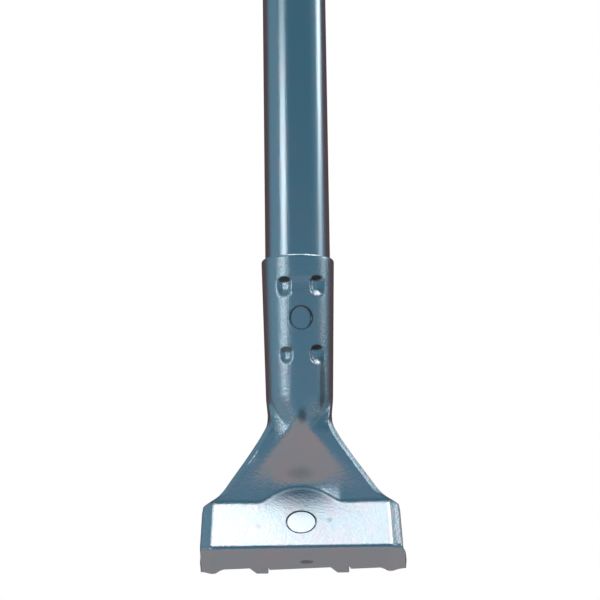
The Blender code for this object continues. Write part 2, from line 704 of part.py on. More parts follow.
def make_blade(frame, material):
    """The blade, put away with its edge to the rear; its open slot clears the bolt."""
    front = LIP_INSIDE - STOP_GAP
    rear = front - BLADE_DEPTH
    half = BLADE_WIDTH / 2
    slot = BOLT_HOLE_RADIUS
    slot_end = -slot - STOP_GAP
    outline = [(-half, rear), (half, rear), (half, front), (slot, front), (slot, 0.0)]
    steps = SMALL_ROUND // 3
    for step in range(1, steps):
        angle = math.pi * step / steps
        outline.append((slot * math.cos(angle), slot_end * math.sin(angle)))
    outline += [(-slot, 0.0), (-slot, front), (-half, front)]
    shape = extruded(outline, BLADE_TOP, BLADE_TOP + BLADE_THICKNESS)
    blade = piece("blade", shape, material, frame, smooth=False)
    cut = BLADE_TOP + BLADE_THICKNESS * BLADE_BEVEL_SHARE
    bevel = ((rear - CUT_MARGIN, BLADE_TOP - CUT_MARGIN), (rear + BLADE_BEVEL, BLADE_TOP - OVERLAP / 2),
             (rear + BLADE_BEVEL, BLADE_TOP), (rear - OVERLAP, cut), (rear - CUT_MARGIN, cut))
    wedge = extruded(bevel, -half - CUT_MARGIN, half + CUT_MARGIN,
                     lambda along, depth, across: (across, along, depth))
    combine(blade, piece("bevel_tool", wedge, None, frame), "DIFFERENCE")
    return blade


def make_clamp_plate(frame, material):
    """The plate that presses the blade on its seat, with a turned-down rear edge."""
    half = CLAMP_WIDTH / 2
    low = CLAMP_TOP + CLAMP_THICKNESS
    outline = rounded_outline(-half, -CLAMP_REAR, half, CLAMP_FRONT, CLAMP_CORNER)
    plate = piece("clamp_plate", extruded(outline, CLAMP_TOP, low), material, frame)
    inside = half - CLAMP_EDGE_INSET
    edge = box((-inside, OVERLAP / 2 - CLAMP_REAR, CLAMP_TOP + OVERLAP),
               (inside, CLAMP_THICKNESS - CLAMP_REAR, low + CLAMP_STIFFENER))
    combine(plate, piece("stiffener_tool", edge, None, frame), "UNION")
    combine(plate, bolt_hole_tool(frame, "clamp_hole_tool", CLAMP_TOP), "DIFFERENCE")
    return plate


def make_washer(frame, material):
    """The flat washer under the lock washer."""
    low = WASHER_TOP + WASHER_THICKNESS
    profile = [(BOLT_HOLE_RADIUS, WASHER_TOP), (WASHER_RADIUS, WASHER_TOP), (WASHER_RADIUS, low),
               (BOLT_HOLE_RADIUS, low)]
    return piece("flat_washer", turned(profile, SMALL_ROUND), material, frame)


def make_lock_washer(frame, material):
    """The split lock washer, pressed flat."""
    low = LOCK_WASHER_TOP + LOCK_WASHER_THICKNESS
    profile = [(BOLT_HOLE_RADIUS, LOCK_WASHER_TOP), (LOCK_WASHER_RADIUS, LOCK_WASHER_TOP),
               (LOCK_WASHER_RADIUS, low), (BOLT_HOLE_RADIUS, low)]
    washer = piece("lock_washer", turned(profile, SMALL_ROUND), material, frame)
    reach = LOCK_WASHER_RADIUS + CUT_MARGIN
    split = box((0.0, -LOCK_SPLIT_WIDTH / 2, LOCK_WASHER_TOP - CUT_MARGIN),
                (reach, LOCK_SPLIT_WIDTH / 2, low + CUT_MARGIN))
    bmesh.ops.rotate(split, verts=split.verts, matrix=Matrix.Rotation(LOCK_SPLIT_TURN, 3, "Z"))
    combine(washer, piece("split_tool", split, None, frame), "DIFFERENCE")
    return washer


def make_wing_nut(frame, material):
    """The wing nut: a coned hub and two rounded wings."""
    top = WING_NUT_TOP
    low = top + WING_NUT_HEIGHT
    profile = [(BOLT_HOLE_RADIUS, top), (WING_NUT_RADIUS, top), (WING_NUT_RADIUS, top + HUB_COLLAR),
               (WING_NUT_RADIUS - HUB_TAPER, low), (BOLT_HOLE_RADIUS, low)]
    nut = piece("wing_nut", turned(profile, SMALL_ROUND), material, frame)
    root = BOLT_HOLE_RADIUS + HUB_OVERLAP
    ear_x = WING_SPAN / 2 - WING_EAR_RADIUS
    ear_depth = low + WING_RISE - WING_EAR_RADIUS
    steps = SMALL_ROUND // 3
    for side, name in ((-1, "left"), (1, "right")):
        outline = [(root, top + WING_CLEARANCE), (ear_x, top + WING_CLEARANCE)]
        for step in range(steps + 1):
            angle = math.radians(EAR_START + (EAR_STOP - EAR_START) * step / steps)
            out, down = WING_EAR_RADIUS * math.cos(angle), WING_EAR_RADIUS * math.sin(angle)
            outline.append((ear_x + out, ear_depth + down))
        outline.append((root, low - WING_ROOT_DROP))
        wing = extruded(outline, -WING_THICKNESS / 2, WING_THICKNESS / 2,
                        lambda across, depth, along, side=side: (side * across, along, depth))
        combine(nut, piece(f"{name}_wing_tool", wing, None, frame), "UNION")
    return nut


def main():
    """Build every piece."""
    clear_scene()
    zinc = finish_material("zinc_plate", (0.62, 0.68, 0.73), 1.0, 0.3)
    steel = finish_material("blade_steel", (0.60, 0.61, 0.62), 1.0, 0.25)
    vinyl = finish_material("black_vinyl", (0.03, 0.03, 0.035), 0.0, 0.6)
    plastic = finish_material("black_plastic", (0.04, 0.04, 0.045), 0.0, 0.45)
    head_frame = frame_empty("head_frame", (0, 0, -HANG_HEIGHT), (0, 0, 0))
    clamp_frame = frame_empty("clamp_frame", PLATE_HOLE, (PLATE_SLOPE - math.pi, 0, 0), head_frame)
    make_tube(head_frame, zinc)
    make_grip(head_frame, vinyl)
    make_end_plug(head_frame, plastic)
    make_head(head_frame, clamp_frame, zinc)
    make_backing(clamp_frame, zinc)
    make_bolt(clamp_frame, zinc)
    make_blade(clamp_frame, steel)
    make_clamp_plate(clamp_frame, zinc)
    make_washer(clamp_frame, zinc)
    make_lock_washer(clamp_frame, steel)
    make_wing_nut(clamp_frame, zinc)


main()
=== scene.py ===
"""Looks of the long-handled algae scraper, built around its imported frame.

World frame: +Z up along the handle, -Y out of the front of the head, +X to its right. The pressed
head is drawn in its own frame, whose origin is on the tube's axis at the valley where the neck meets
the plate; the clamp's pieces are drawn along the bolt, from the plate's outer face.
"""
from __future__ import annotations

import logging
import math
from dataclasses import dataclass, field
from enum import Enum
from typing import Callable, Sequence

import bmesh
import bpy
from mathutils import Matrix, Vector

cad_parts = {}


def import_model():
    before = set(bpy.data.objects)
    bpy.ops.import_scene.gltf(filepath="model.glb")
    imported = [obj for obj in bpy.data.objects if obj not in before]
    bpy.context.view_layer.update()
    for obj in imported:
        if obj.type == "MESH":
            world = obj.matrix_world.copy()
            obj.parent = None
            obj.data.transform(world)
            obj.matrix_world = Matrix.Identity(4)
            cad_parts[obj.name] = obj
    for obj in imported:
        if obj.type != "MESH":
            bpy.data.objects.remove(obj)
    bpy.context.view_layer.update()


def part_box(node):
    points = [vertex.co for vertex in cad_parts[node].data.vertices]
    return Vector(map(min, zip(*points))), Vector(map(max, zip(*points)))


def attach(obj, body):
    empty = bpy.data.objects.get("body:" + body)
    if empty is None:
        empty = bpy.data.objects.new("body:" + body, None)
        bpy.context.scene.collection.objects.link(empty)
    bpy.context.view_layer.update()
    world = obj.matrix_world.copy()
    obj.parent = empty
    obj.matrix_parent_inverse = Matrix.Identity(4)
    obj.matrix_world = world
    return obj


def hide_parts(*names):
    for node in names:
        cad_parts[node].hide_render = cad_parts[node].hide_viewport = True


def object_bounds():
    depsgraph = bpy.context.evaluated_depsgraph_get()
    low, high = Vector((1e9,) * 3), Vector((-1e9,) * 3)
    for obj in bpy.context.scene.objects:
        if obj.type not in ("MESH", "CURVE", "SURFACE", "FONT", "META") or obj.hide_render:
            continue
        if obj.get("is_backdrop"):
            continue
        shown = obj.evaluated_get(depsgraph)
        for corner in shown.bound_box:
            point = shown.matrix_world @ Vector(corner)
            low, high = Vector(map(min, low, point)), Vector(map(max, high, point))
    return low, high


LOG = logging.getLogger("scraper")
Point = tuple[float, float]
Place = tuple[float, float, float]
Shade = tuple[float, float, float]
Curve = Sequence[Point]


class Body(Enum):
    """The rigid bodies that pieces ride on."""

    HEAD = "head"
    CLAMP = "clamp"
    NUT = "nut"
    BLADE = "blade"


# --- Small mathematics ---


def smooth_step(value: float) -> float:
    """Ease from 0 to 1 as value goes from 0 to 1."""
    value = min(max(value, 0.0), 1.0)
    return value * value * (3 - 2 * value)


def soft_min(first: float, second: float, radius: float) -> float:
    """The smaller of two numbers, rounded over a radius where they cross."""
    mix = max(radius - abs(first - second), 0.0) / radius
    return min(first, second) - mix * mix * radius / 4


def soft_max(first: float, second: float, radius: float) -> float:
    """The larger of two numbers, rounded over a radius where they cross."""
    return -soft_min(-first, -second, radius)


def through(points: Curve, at: float) -> float:
    """Read a smooth curve at a place.

    Args:
        points: the curve's points, in falling order of their first number.
        at: where to read it; past either end the end's value holds.

    Returns:
        The curve's value.
    """
    if at >= points[0][0]:
        return points[0][1]
    if at <= points[-1][0]:
        return points[-1][1]
    index = next(place for place, point in enumerate(points) if at >= point[0])
    (a, value_a), (b, value_b) = points[index - 1], points[index]
    before = points[max(index - 2, 0)]
    after = points[min(index + 1, len(points) - 1)]
    span = b - a
    slope_a = (value_b - before[1]) / (b - before[0]) * span
    slope_b = (after[1] - value_a) / (after[0] - a) * span
    t = (at - a) / span
    return ((2 * t**3 - 3 * t**2 + 1) * value_a + (t**3 - 2 * t**2 + t) * slope_a
            + (3 * t**2 - 2 * t**3) * value_b + (t**3 - t**2) * slope_b)


# --- Shader nodes ---


class Graph:
    """A material's or a world's node tree, with one method that adds any node."""

    def __init__(self, tree: bpy.types.NodeTree) -> None:
        """Keep the tree."""
        self.tree = tree

    def feed(self, socket: bpy.types.NodeSocket, value: object) -> None:
        """Link a socket to another socket or a signal, or set its plain value."""
        if isinstance(value, Signal):
            value = value.socket
        if isinstance(value, bpy.types.NodeSocket):
            self.tree.links.new(value, socket)
        else:
            socket.default_value = value

    def node(self, kind: str, inputs: dict | None = None, **settings: object) -> bpy.types.Node:
        """Add a node.

        Args:
            kind: the node's type.
            inputs: values or links for its sockets, by name or index.
            **settings: the node's own settings, set before its sockets.

        Returns:
            The new node.
        """
        node = self.tree.nodes.new(kind)
        for name, value in settings.items():
            setattr(node, name, value)
        for name, value in (inputs or {}).items():
            self.feed(node.inputs[name], value)
        return node

    def signal(self, kind: str, output: str | int, inputs: dict | None = None,
               **settings: object) -> Signal:
        """Add a node and wrap one of its outputs for arithmetic."""
        return Signal(self, self.node(kind, inputs, **settings).outputs[output])

    def coordinates(self, scale: Place = (1.0, 1.0, 1.0)) -> bpy.types.NodeSocket:
        """Object coordinates, stretched by a scale."""
        source = self.node("ShaderNodeTexCoord").outputs["Object"]
        return self.node("ShaderNodeMapping", {"Vector": source, "Scale": scale}).outputs["Vector"]

    def noise(self, vector: bpy.types.NodeSocket, scale: float, detail: float = 3.0,
              roughness: float = 0.55) -> Signal:
        """Fractal noise between 0 and 1."""
        return self.signal("ShaderNodeTexNoise", "Fac",
                           {"Vector": vector, "Scale": scale, "Detail": detail, "Roughness": roughness})

    def mix(self, factor: object, first: object, second: object) -> bpy.types.NodeSocket:
        """Blend two colours by a factor; each of the three is plain or linked."""
        inputs = {"Factor": factor, 6: first, 7: second}
        return self.node("ShaderNodeMix", inputs, data_type="RGBA").outputs[2]

    def bump(self, height: Signal, strength: float, distance: float) -> bpy.types.NodeSocket:
        """A bumped normal from a height."""
        inputs = {"Height": height, "Strength": strength, "Distance": distance}
        return self.node("ShaderNodeBump", inputs).outputs["Normal"]


@dataclass
class Signal:
    """A shader number, with arithmetic that adds Math nodes."""

    graph: Graph
    socket: bpy.types.NodeSocket

    def maths(self, operation: str, *others: Signal | float) -> Signal:
        """Add a Math node whose first number is this one."""
        return self.graph.signal("ShaderNodeMath", 0, dict(enumerate((self, *others))), operation=operation)

    def __add__(self, other: Signal | float) -> Signal:
        """Sum."""
        return self.maths("ADD", other)

    def __mul__(self, other: Signal | float) -> Signal:
        """Product."""
        return self.maths("MULTIPLY", other)

    def __sub__(self, other: Signal | float) -> Signal:
        """Difference."""
        return self.maths("SUBTRACT", other)

    def __rsub__(self, other: float) -> Signal:
        """Difference from a plain number."""
        return self * -1.0 + other

    __radd__ = __add__
    __rmul__ = __mul__

    def ease(self, low: float, high: float) -> Signal:
        """Ease from 0 at low to 1 at high."""
        return self.graph.signal("ShaderNodeMapRange", 0, {0: self, 1: low, 2: high},
                                 interpolation_type="SMOOTHSTEP")

    def peak(self, centre: float, half: float, soft: float) -> Signal:
        """1 within half of a centre, easing to 0 over soft on each side."""
        away = (self - centre).maths("ABSOLUTE")
        return 1.0 - away.ease(half, half + soft)


# --- Finishes ---


@dataclass(frozen=True)
class Finish:
    """What every finish has: a name and the shader it ends in."""

    name: str

    def start(self) -> tuple[bpy.types.Material, Graph, bpy.types.Node]:
        """Make an empty Principled material and its graph."""
        material = bpy.data.materials.new(self.name)
        material.use_nodes = True
        graph = Graph(material.node_tree)
        return material, graph, material.node_tree.nodes["Principled BSDF"]

    @staticmethod
    def connect(graph: Graph, shader: bpy.types.Node, **sockets: object) -> None:
        """Link or set the shader's sockets, named with underscores for spaces."""
        for name, value in sockets.items():
            graph.feed(shader.inputs[name.replace("_", " ").title()], value)


@dataclass(frozen=True)
class ShadeMark:
    """Painted shade: a dark patch painted on a surface, in a crimp, a crease or the recess, round a hole's
    rim, or on an open face.

    It is darkest within half of a radius around its centre, and fades over soft. A squash above 1
    flattens it, and one below 1 draws it out along Z.
    """

    centre: Place
    half: float
    soft: float
    strength: float
    squash: float = 1.0
    radius: float = 0.0

    def shade(self, graph: Graph, position: bpy.types.NodeSocket) -> Signal:
        """How dark the mark makes each point.

        Args:
            graph: the material's graph.
            position: object coordinates.

        Returns:
            A number from 0 to the mark's strength.
        """
        away = graph.node("ShaderNodeVectorMath", {0: position, 1: self.centre}, operation="SUBTRACT")
        flat = graph.node("ShaderNodeVectorMath", {0: away.outputs[0], 1: (1.0, 1.0, self.squash)},
                          operation="MULTIPLY")
        length = graph.signal("ShaderNodeVectorMath", "Value", {0: flat.outputs[0]}, operation="LENGTH")
        return length.peak(self.radius, self.half, self.soft) * self.strength


@dataclass(frozen=True)
class ZincPlate(Finish):
    """Bright zinc plate over steel: bluish, with a fine grain, cloudy passivation, scuffs and painted shade
    marks.
    """

    colour: Shade = (0.70, 0.80, 0.87)
    cloud: Shade = (0.78, 0.78, 0.85)
    scuffed: Shade = (0.45, 0.47, 0.50)
    # the colour that the painted shade marks darken the plate towards
    painted_shade: Shade = (0.030, 0.042, 0.048)
    roughness: float = 0.20
    grain: float = 0.40
    scuffs: float = 0.5
    relief: float = 0.00030
    drawn: bool = False
    shade_marks: tuple[ShadeMark, ...] = ()

    def build(self) -> bpy.types.Material:
        """Make the material.

        Returns:
            The finished material.
        """
        material, graph, shader = self.start()
        stretch = (1.0, 1.0, 0.04) if self.drawn else (1.0, 1.0, 1.0)
        even = graph.coordinates()
        clouds = graph.noise(even, 90.0, 4.0, 0.6)
        fine = graph.noise(graph.coordinates(stretch), 1250.0, 2.0, 0.7)
        ripple = graph.noise(graph.coordinates(stretch), 620.0, 3.0, 0.6)
        scratch = graph.noise(graph.coordinates((1.0, 0.5, 0.06)), 900.0, 2.0, 0.5)
        patches = graph.noise(even, 45.0, 2.0, 0.5).ease(0.48, 0.62)
        scratches = scratch.ease(0.66, 0.74) * patches * self.scuffs
        base = graph.mix(clouds.ease(0.38, 0.66), (*self.colour, 1.0), (*self.cloud, 1.0))
        base = graph.mix(scratches * 0.35, base, (*self.scuffed, 1.0))
        rough = fine * (0.15 * self.grain) + clouds * 0.07 + scratches * 0.12 + (self.roughness - 0.055)
        # Painted shade: each mark darkens the base colour, and roughens the finish, where the head is
        # painted as falling into shade.
        for mark in self.shade_marks:
            shade = mark.shade(graph, even)
            base = graph.mix(shade, base, (*self.painted_shade, 1.0))
            rough = rough + shade * 0.2
        height = fine * (2.0 * self.grain) + ripple * (1.6 * self.grain) - scratches * 0.1
        self.connect(graph, shader, base_color=base, metallic=1.0, roughness=rough,
                     normal=graph.bump(height, 0.5, self.relief))
        return material


@dataclass(frozen=True)
class PlainSteel(Finish):
    """Bare steel: ground along one axis, or evenly dark like a phosphated spring."""

    colour: Shade = (0.60, 0.61, 0.63)
    roughness: float = 0.24
    along: Place = (0.03, 1.0, 1.0)
    lines: float = 1.0

    def build(self) -> bpy.types.Material:
        """Make the material."""
        material, graph, shader = self.start()
        lines = graph.noise(graph.coordinates(self.along), 2600.0, 3.0, 0.6)
        stain = graph.noise(graph.coordinates(), 70.0, 4.0, 0.6).ease(0.45, 0.75)
        dark = tuple(channel * 0.62 for channel in self.colour)
        base = graph.mix(stain * 0.5 + lines * 0.2, (*self.colour, 1.0), (*dark, 1.0))
        self.connect(graph, shader, base_color=base, metallic=1.0,
                     roughness=lines * (0.16 * self.lines) + stain * 0.12 + (self.roughness - 0.08),
                     normal=graph.bump(lines, 0.25 * self.lines, 0.00004))
        return material


@dataclass(frozen=True)
class SoftVinyl(Finish):
    """Dipped or moulded dark polymer with a fine pebble and worn, dusty high spots."""

    colour: Shade = (0.020, 0.021, 0.024)
    worn: Shade = (0.075, 0.078, 0.085)
    roughness: float = 0.48
    pebble: float = 1600.0
    depth: float = 0.00006

    def build(self) -> bpy.types.Material:
        """Make the material."""
        material, graph, shader = self.start()
        even = graph.coordinates()
        cells = graph.signal("ShaderNodeTexVoronoi", "Distance", {"Vector": even, "Scale": self.pebble})
        wear = graph.noise(even, 55.0, 5.0, 0.65)
        dust = graph.noise(even, 420.0, 3.0, 0.6)
        base = graph.mix(wear.ease(0.42, 0.78) * 0.6 + dust.ease(0.55, 0.8) * 0.25,
                         (*self.colour, 1.0), (*self.worn, 1.0))
        self.connect(graph, shader, base_color=base, roughness=wear * 0.22 + (self.roughness - 0.10),
                     normal=graph.bump(cells + dust * 0.4, 0.5, self.depth))
        return material


# --- Modelling tools ---


def deselect_all() -> None:
    """Leave nothing selected and no object in edit mode."""
    if bpy.context.object and bpy.context.object.mode != "OBJECT":
        bpy.ops.object.mode_set(mode="OBJECT")
    bpy.ops.object.select_all(action="DESELECT")


def activate(thing: bpy.types.Object) -> None:
    """Make one object the only selected and active one."""
    deselect_all()
    thing.select_set(True)
    bpy.context.view_layer.objects.active = thing


def name_piece(name: str) -> bpy.types.Object:
    """Name the object that an operator has just added."""
    thing = bpy.context.object
    thing.name = name
    thing.data.name = name
    return thing


def select_edges(thing: bpy.types.Object, wanted: Callable[[Vector, Vector], bool]) -> None:
    """Enter edit mode with only the wanted edges selected, judged by their two ends."""
    activate(thing)
    bpy.ops.object.mode_set(mode="EDIT")
    bpy.ops.mesh.select_mode(type="EDGE")
    bpy.ops.mesh.select_all(action="DESELECT")
    mesh = bmesh.from_edit_mesh(thing.data)
    for edge in mesh.edges:
        edge.select_set(wanted(edge.verts[0].co, edge.verts[1].co))
    bmesh.update_edit_mesh(thing.data)


def edit_all(thing: bpy.types.Object) -> None:
    """Enter edit mode with everything selected."""
    activate(thing)
    bpy.ops.object.mode_set(mode="EDIT")
    bpy.ops.mesh.select_all(action="SELECT")


def leave_edit() -> None:
    """Go back to object mode."""
    bpy.ops.object.mode_set(mode="OBJECT")


def face_outwards(shell: bpy.types.Object) -> None:
    """Make a thin shell's faces agree and point away from the Z axis."""
    edit_all(shell)
    bpy.ops.mesh.normals_make_consistent(inside=False)
    leave_edit()
    face = shell.data.polygons[0]
    if face.normal.dot(Vector((face.center.x, face.center.y, 0))) < 0:
        edit_all(shell)
        bpy.ops.mesh.flip_normals()
        leave_edit()


def apply_modifier(thing: bpy.types.Object, kind: str, **settings: object) -> None:
    """Add a modifier, set it up and apply it."""
    activate(thing)
    change = thing.modifiers.new(kind.lower(), kind)
    for name, value in settings.items():
        setattr(change, name, value)
    bpy.ops.object.modifier_apply(modifier=change.name)


def combine(target: bpy.types.Object, tool: bpy.types.Object, operation: str) -> None:
    """Cut with, or join, a tool and throw the tool away."""
    apply_modifier(target, "BOOLEAN", object=tool, operation=operation, solver="EXACT")
    bpy.data.objects.remove(tool, do_unlink=True)


def place(thing: bpy.types.Object, matrix: Matrix) -> None:
    """Move a mesh by a matrix and leave its object at the origin."""
    activate(thing)
    thing.data.transform(matrix @ thing.matrix_world)
    thing.matrix_world = Matrix.Identity(4)


def smooth(thing: bpy.types.Object, degrees: float = 32.0) -> None:
    """Shade smooth, with creases sharper than an angle kept."""
    activate(thing)
    bpy.ops.object.shade_smooth_by_angle(angle=math.radians(degrees))


def spun(name: str, profile: Sequence[Point], steps: int) -> bpy.types.Object:
    """Spin a profile about Z, starting from one vertex that is extruded along it.

    Args:
        name: the new object's name.
        profile: (radius, height) points; its ends lie on the axis, or it closes on itself.
        steps: faces around.

    Returns:
        The turned object.
    """
    deselect_all()
    bpy.ops.mesh.primitive_plane_add(size=0.001, location=(0, 0, 0))
    thing = name_piece(name)
    bpy.ops.object.mode_set(mode="EDIT")
    bpy.ops.mesh.select_mode(type="VERT")
    bpy.ops.mesh.select_all(action="SELECT")
    bpy.ops.mesh.merge(type="CENTER")
    mesh = bmesh.from_edit_mesh(thing.data)
    mesh.verts.ensure_lookup_table()
    mesh.verts[0].co = (profile[0][0], 0, profile[0][1])
    bmesh.update_edit_mesh(thing.data)
    for (radius_a, height_a), (radius_b, height_b) in zip(profile, profile[1:]):
        bpy.ops.mesh.extrude_region_move(
            TRANSFORM_OT_translate={"value": (radius_b - radius_a, 0, height_b - height_a)})
    bpy.ops.mesh.select_all(action="SELECT")
    if profile[0][0] > 0:
        mesh = bmesh.from_edit_mesh(thing.data)
        mesh.edges.new([vertex for vertex in mesh.verts if len(vertex.link_edges) == 1])
        bmesh.update_edit_mesh(thing.data)
        bpy.ops.mesh.select_all(action="SELECT")
    bpy.ops.mesh.spin(steps=steps, angle=2 * math.pi, center=(0, 0, 0), axis=(0, 0, 1))
    bpy.ops.mesh.select_all(action="SELECT")
    bpy.ops.mesh.remove_doubles(threshold=0.000002)
    bpy.ops.mesh.normals_make_consistent(inside=False)
    leave_edit()
    return thing


def block(name: str, low: Sequence[float], high: Sequence[float]) -> bpy.types.Object:
    """A cube stretched between two corners, with its place and size in its mesh."""
    deselect_all()
    centre = [(a + b) / 2 for a, b in zip(low, high)]
    bpy.ops.mesh.primitive_cube_add(size=1, location=centre)
    thing = name_piece(name)
    thing.scale = [b - a for a, b in zip(low, high)]
    bpy.ops.object.transform_apply(location=True, rotation=True, scale=True)
    return thing


def rod(name: str, radius: float, length: float, centre: Sequence[float], sides: int = 64,
        turn: float = 0.0) -> bpy.types.Object:
    """A cylinder along Z, or turned about X by an angle, with its place in its mesh."""
    deselect_all()
    bpy.ops.mesh.primitive_cylinder_add(vertices=sides, radius=radius, depth=length, location=centre,
                                        rotation=(turn, 0, 0))
    thing = name_piece(name)
    place(thing, Matrix.Identity(4))
    return thing


def round_edges(thing: bpy.types.Object, width: float, segments: int = 2, degrees: float = 30.0) -> None:
    """Round every edge sharper than an angle."""
    apply_modifier(thing, "BEVEL", width=width, segments=segments, limit_method="ANGLE",
                   angle_limit=math.radians(degrees), harden_normals=False)


def dress(piece: bpy.types.Object, finish: bpy.types.Material, body: Body, node: str) -> bpy.types.Object:
    """Give a piece its finish, and say what carries it and what it stands for.

    Args:
        piece: the finished mesh object.
        finish: its material.
        body: the rigid body it rides on.
        node: the frame's node that it replaces.

    Returns:
        The piece.
    """
    piece.data.materials.append(finish)
    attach(piece, body.value)
    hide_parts(node)
    return piece


# --- The scraper's shared sizes ---


@dataclass
class ScraperSizes:
    """Sizes that more than one piece needs, in metres, and where the frame puts them."""

    tube_radius: float = 0.015875
    tube_wall: float = 0.0012
    sheet: float = 0.0013
    gap: float = 0.0003
    socket_rim: float = 0.1165
    tube_insert: float = 0.0565
    plate_slope: float = math.radians(47.8)
    head_forward: float = 0.0080
    plate_length: float = 0.0300
    plate_hole_down: float = 0.0138
    lip_depth: float = 0.0137
    bolt_radius: float = 0.0030
    bolt_clearance: float = 0.0004
    valley: float = field(init=False)

    def __post_init__(self) -> None:
        """Read the valley's height from the tube's lower end in the frame."""
        self.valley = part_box("handle_tube")[0][2] - (self.socket_rim - self.tube_insert)

    @property
    def across(self) -> float:
        """How far the plate's slope goes forwards, for each metre along it."""
        return math.cos(self.plate_slope)

    @property
    def down(self) -> float:
        """How far the plate's slope goes down, for each metre along it."""
        return math.sin(self.plate_slope)

    @property
    def head_frame(self) -> Matrix:
        """From the head's frame to the world."""
        return Matrix.Translation((0, 0, self.valley))

    @property
    def clamp_frame(self) -> Matrix:
        """From the clamp's frame, on the plate's face at the hole, to the world."""
        depth = -self.plate_hole_down * self.across - self.head_forward
        hole = Matrix.Translation((0, depth, -self.plate_hole_down * self.down))
        return self.head_frame @ hole @ Matrix.Rotation(self.plate_slope - math.pi, 4, "X")

    @property
    def lip_inside(self) -> float:
        """From the bolt's axis to the lip's inner face, along the plate."""
        return self.plate_length - self.plate_hole_down - self.sheet


@dataclass(frozen=True)
class Crimp:
    """One punched dimple that locks the socket on the tube: steep above, ramped below."""

    angle: float
    height: float
    depth: float
    size: float
    half_angle: float = math.radians(15.5)
    top: float = 0.0046
    bottom: float = 0.0050
    steep: float = 0.0016
    ramp: float = 0.0031
    side: float = 0.75
    peak: float = 0.0016

    def at(self, angle: float, height: float, growth: float) -> float:
        """How deep the dimple is at an angle from the front and a height."""
        size = self.size * growth
        across = abs(angle - self.angle) / (self.half_angle * size)
        along = (height - self.height) / size
        sides = smooth_step((1 - across) / self.side)
        above = smooth_step((self.top - self.peak * across * across - along) / self.steep)
        below = (along + self.bottom - self.peak * across * across) / self.ramp
        below = soft_min(soft_max(below, 0.0, 0.4), 1.0, 0.4)
        return self.depth * growth * sides * above * below


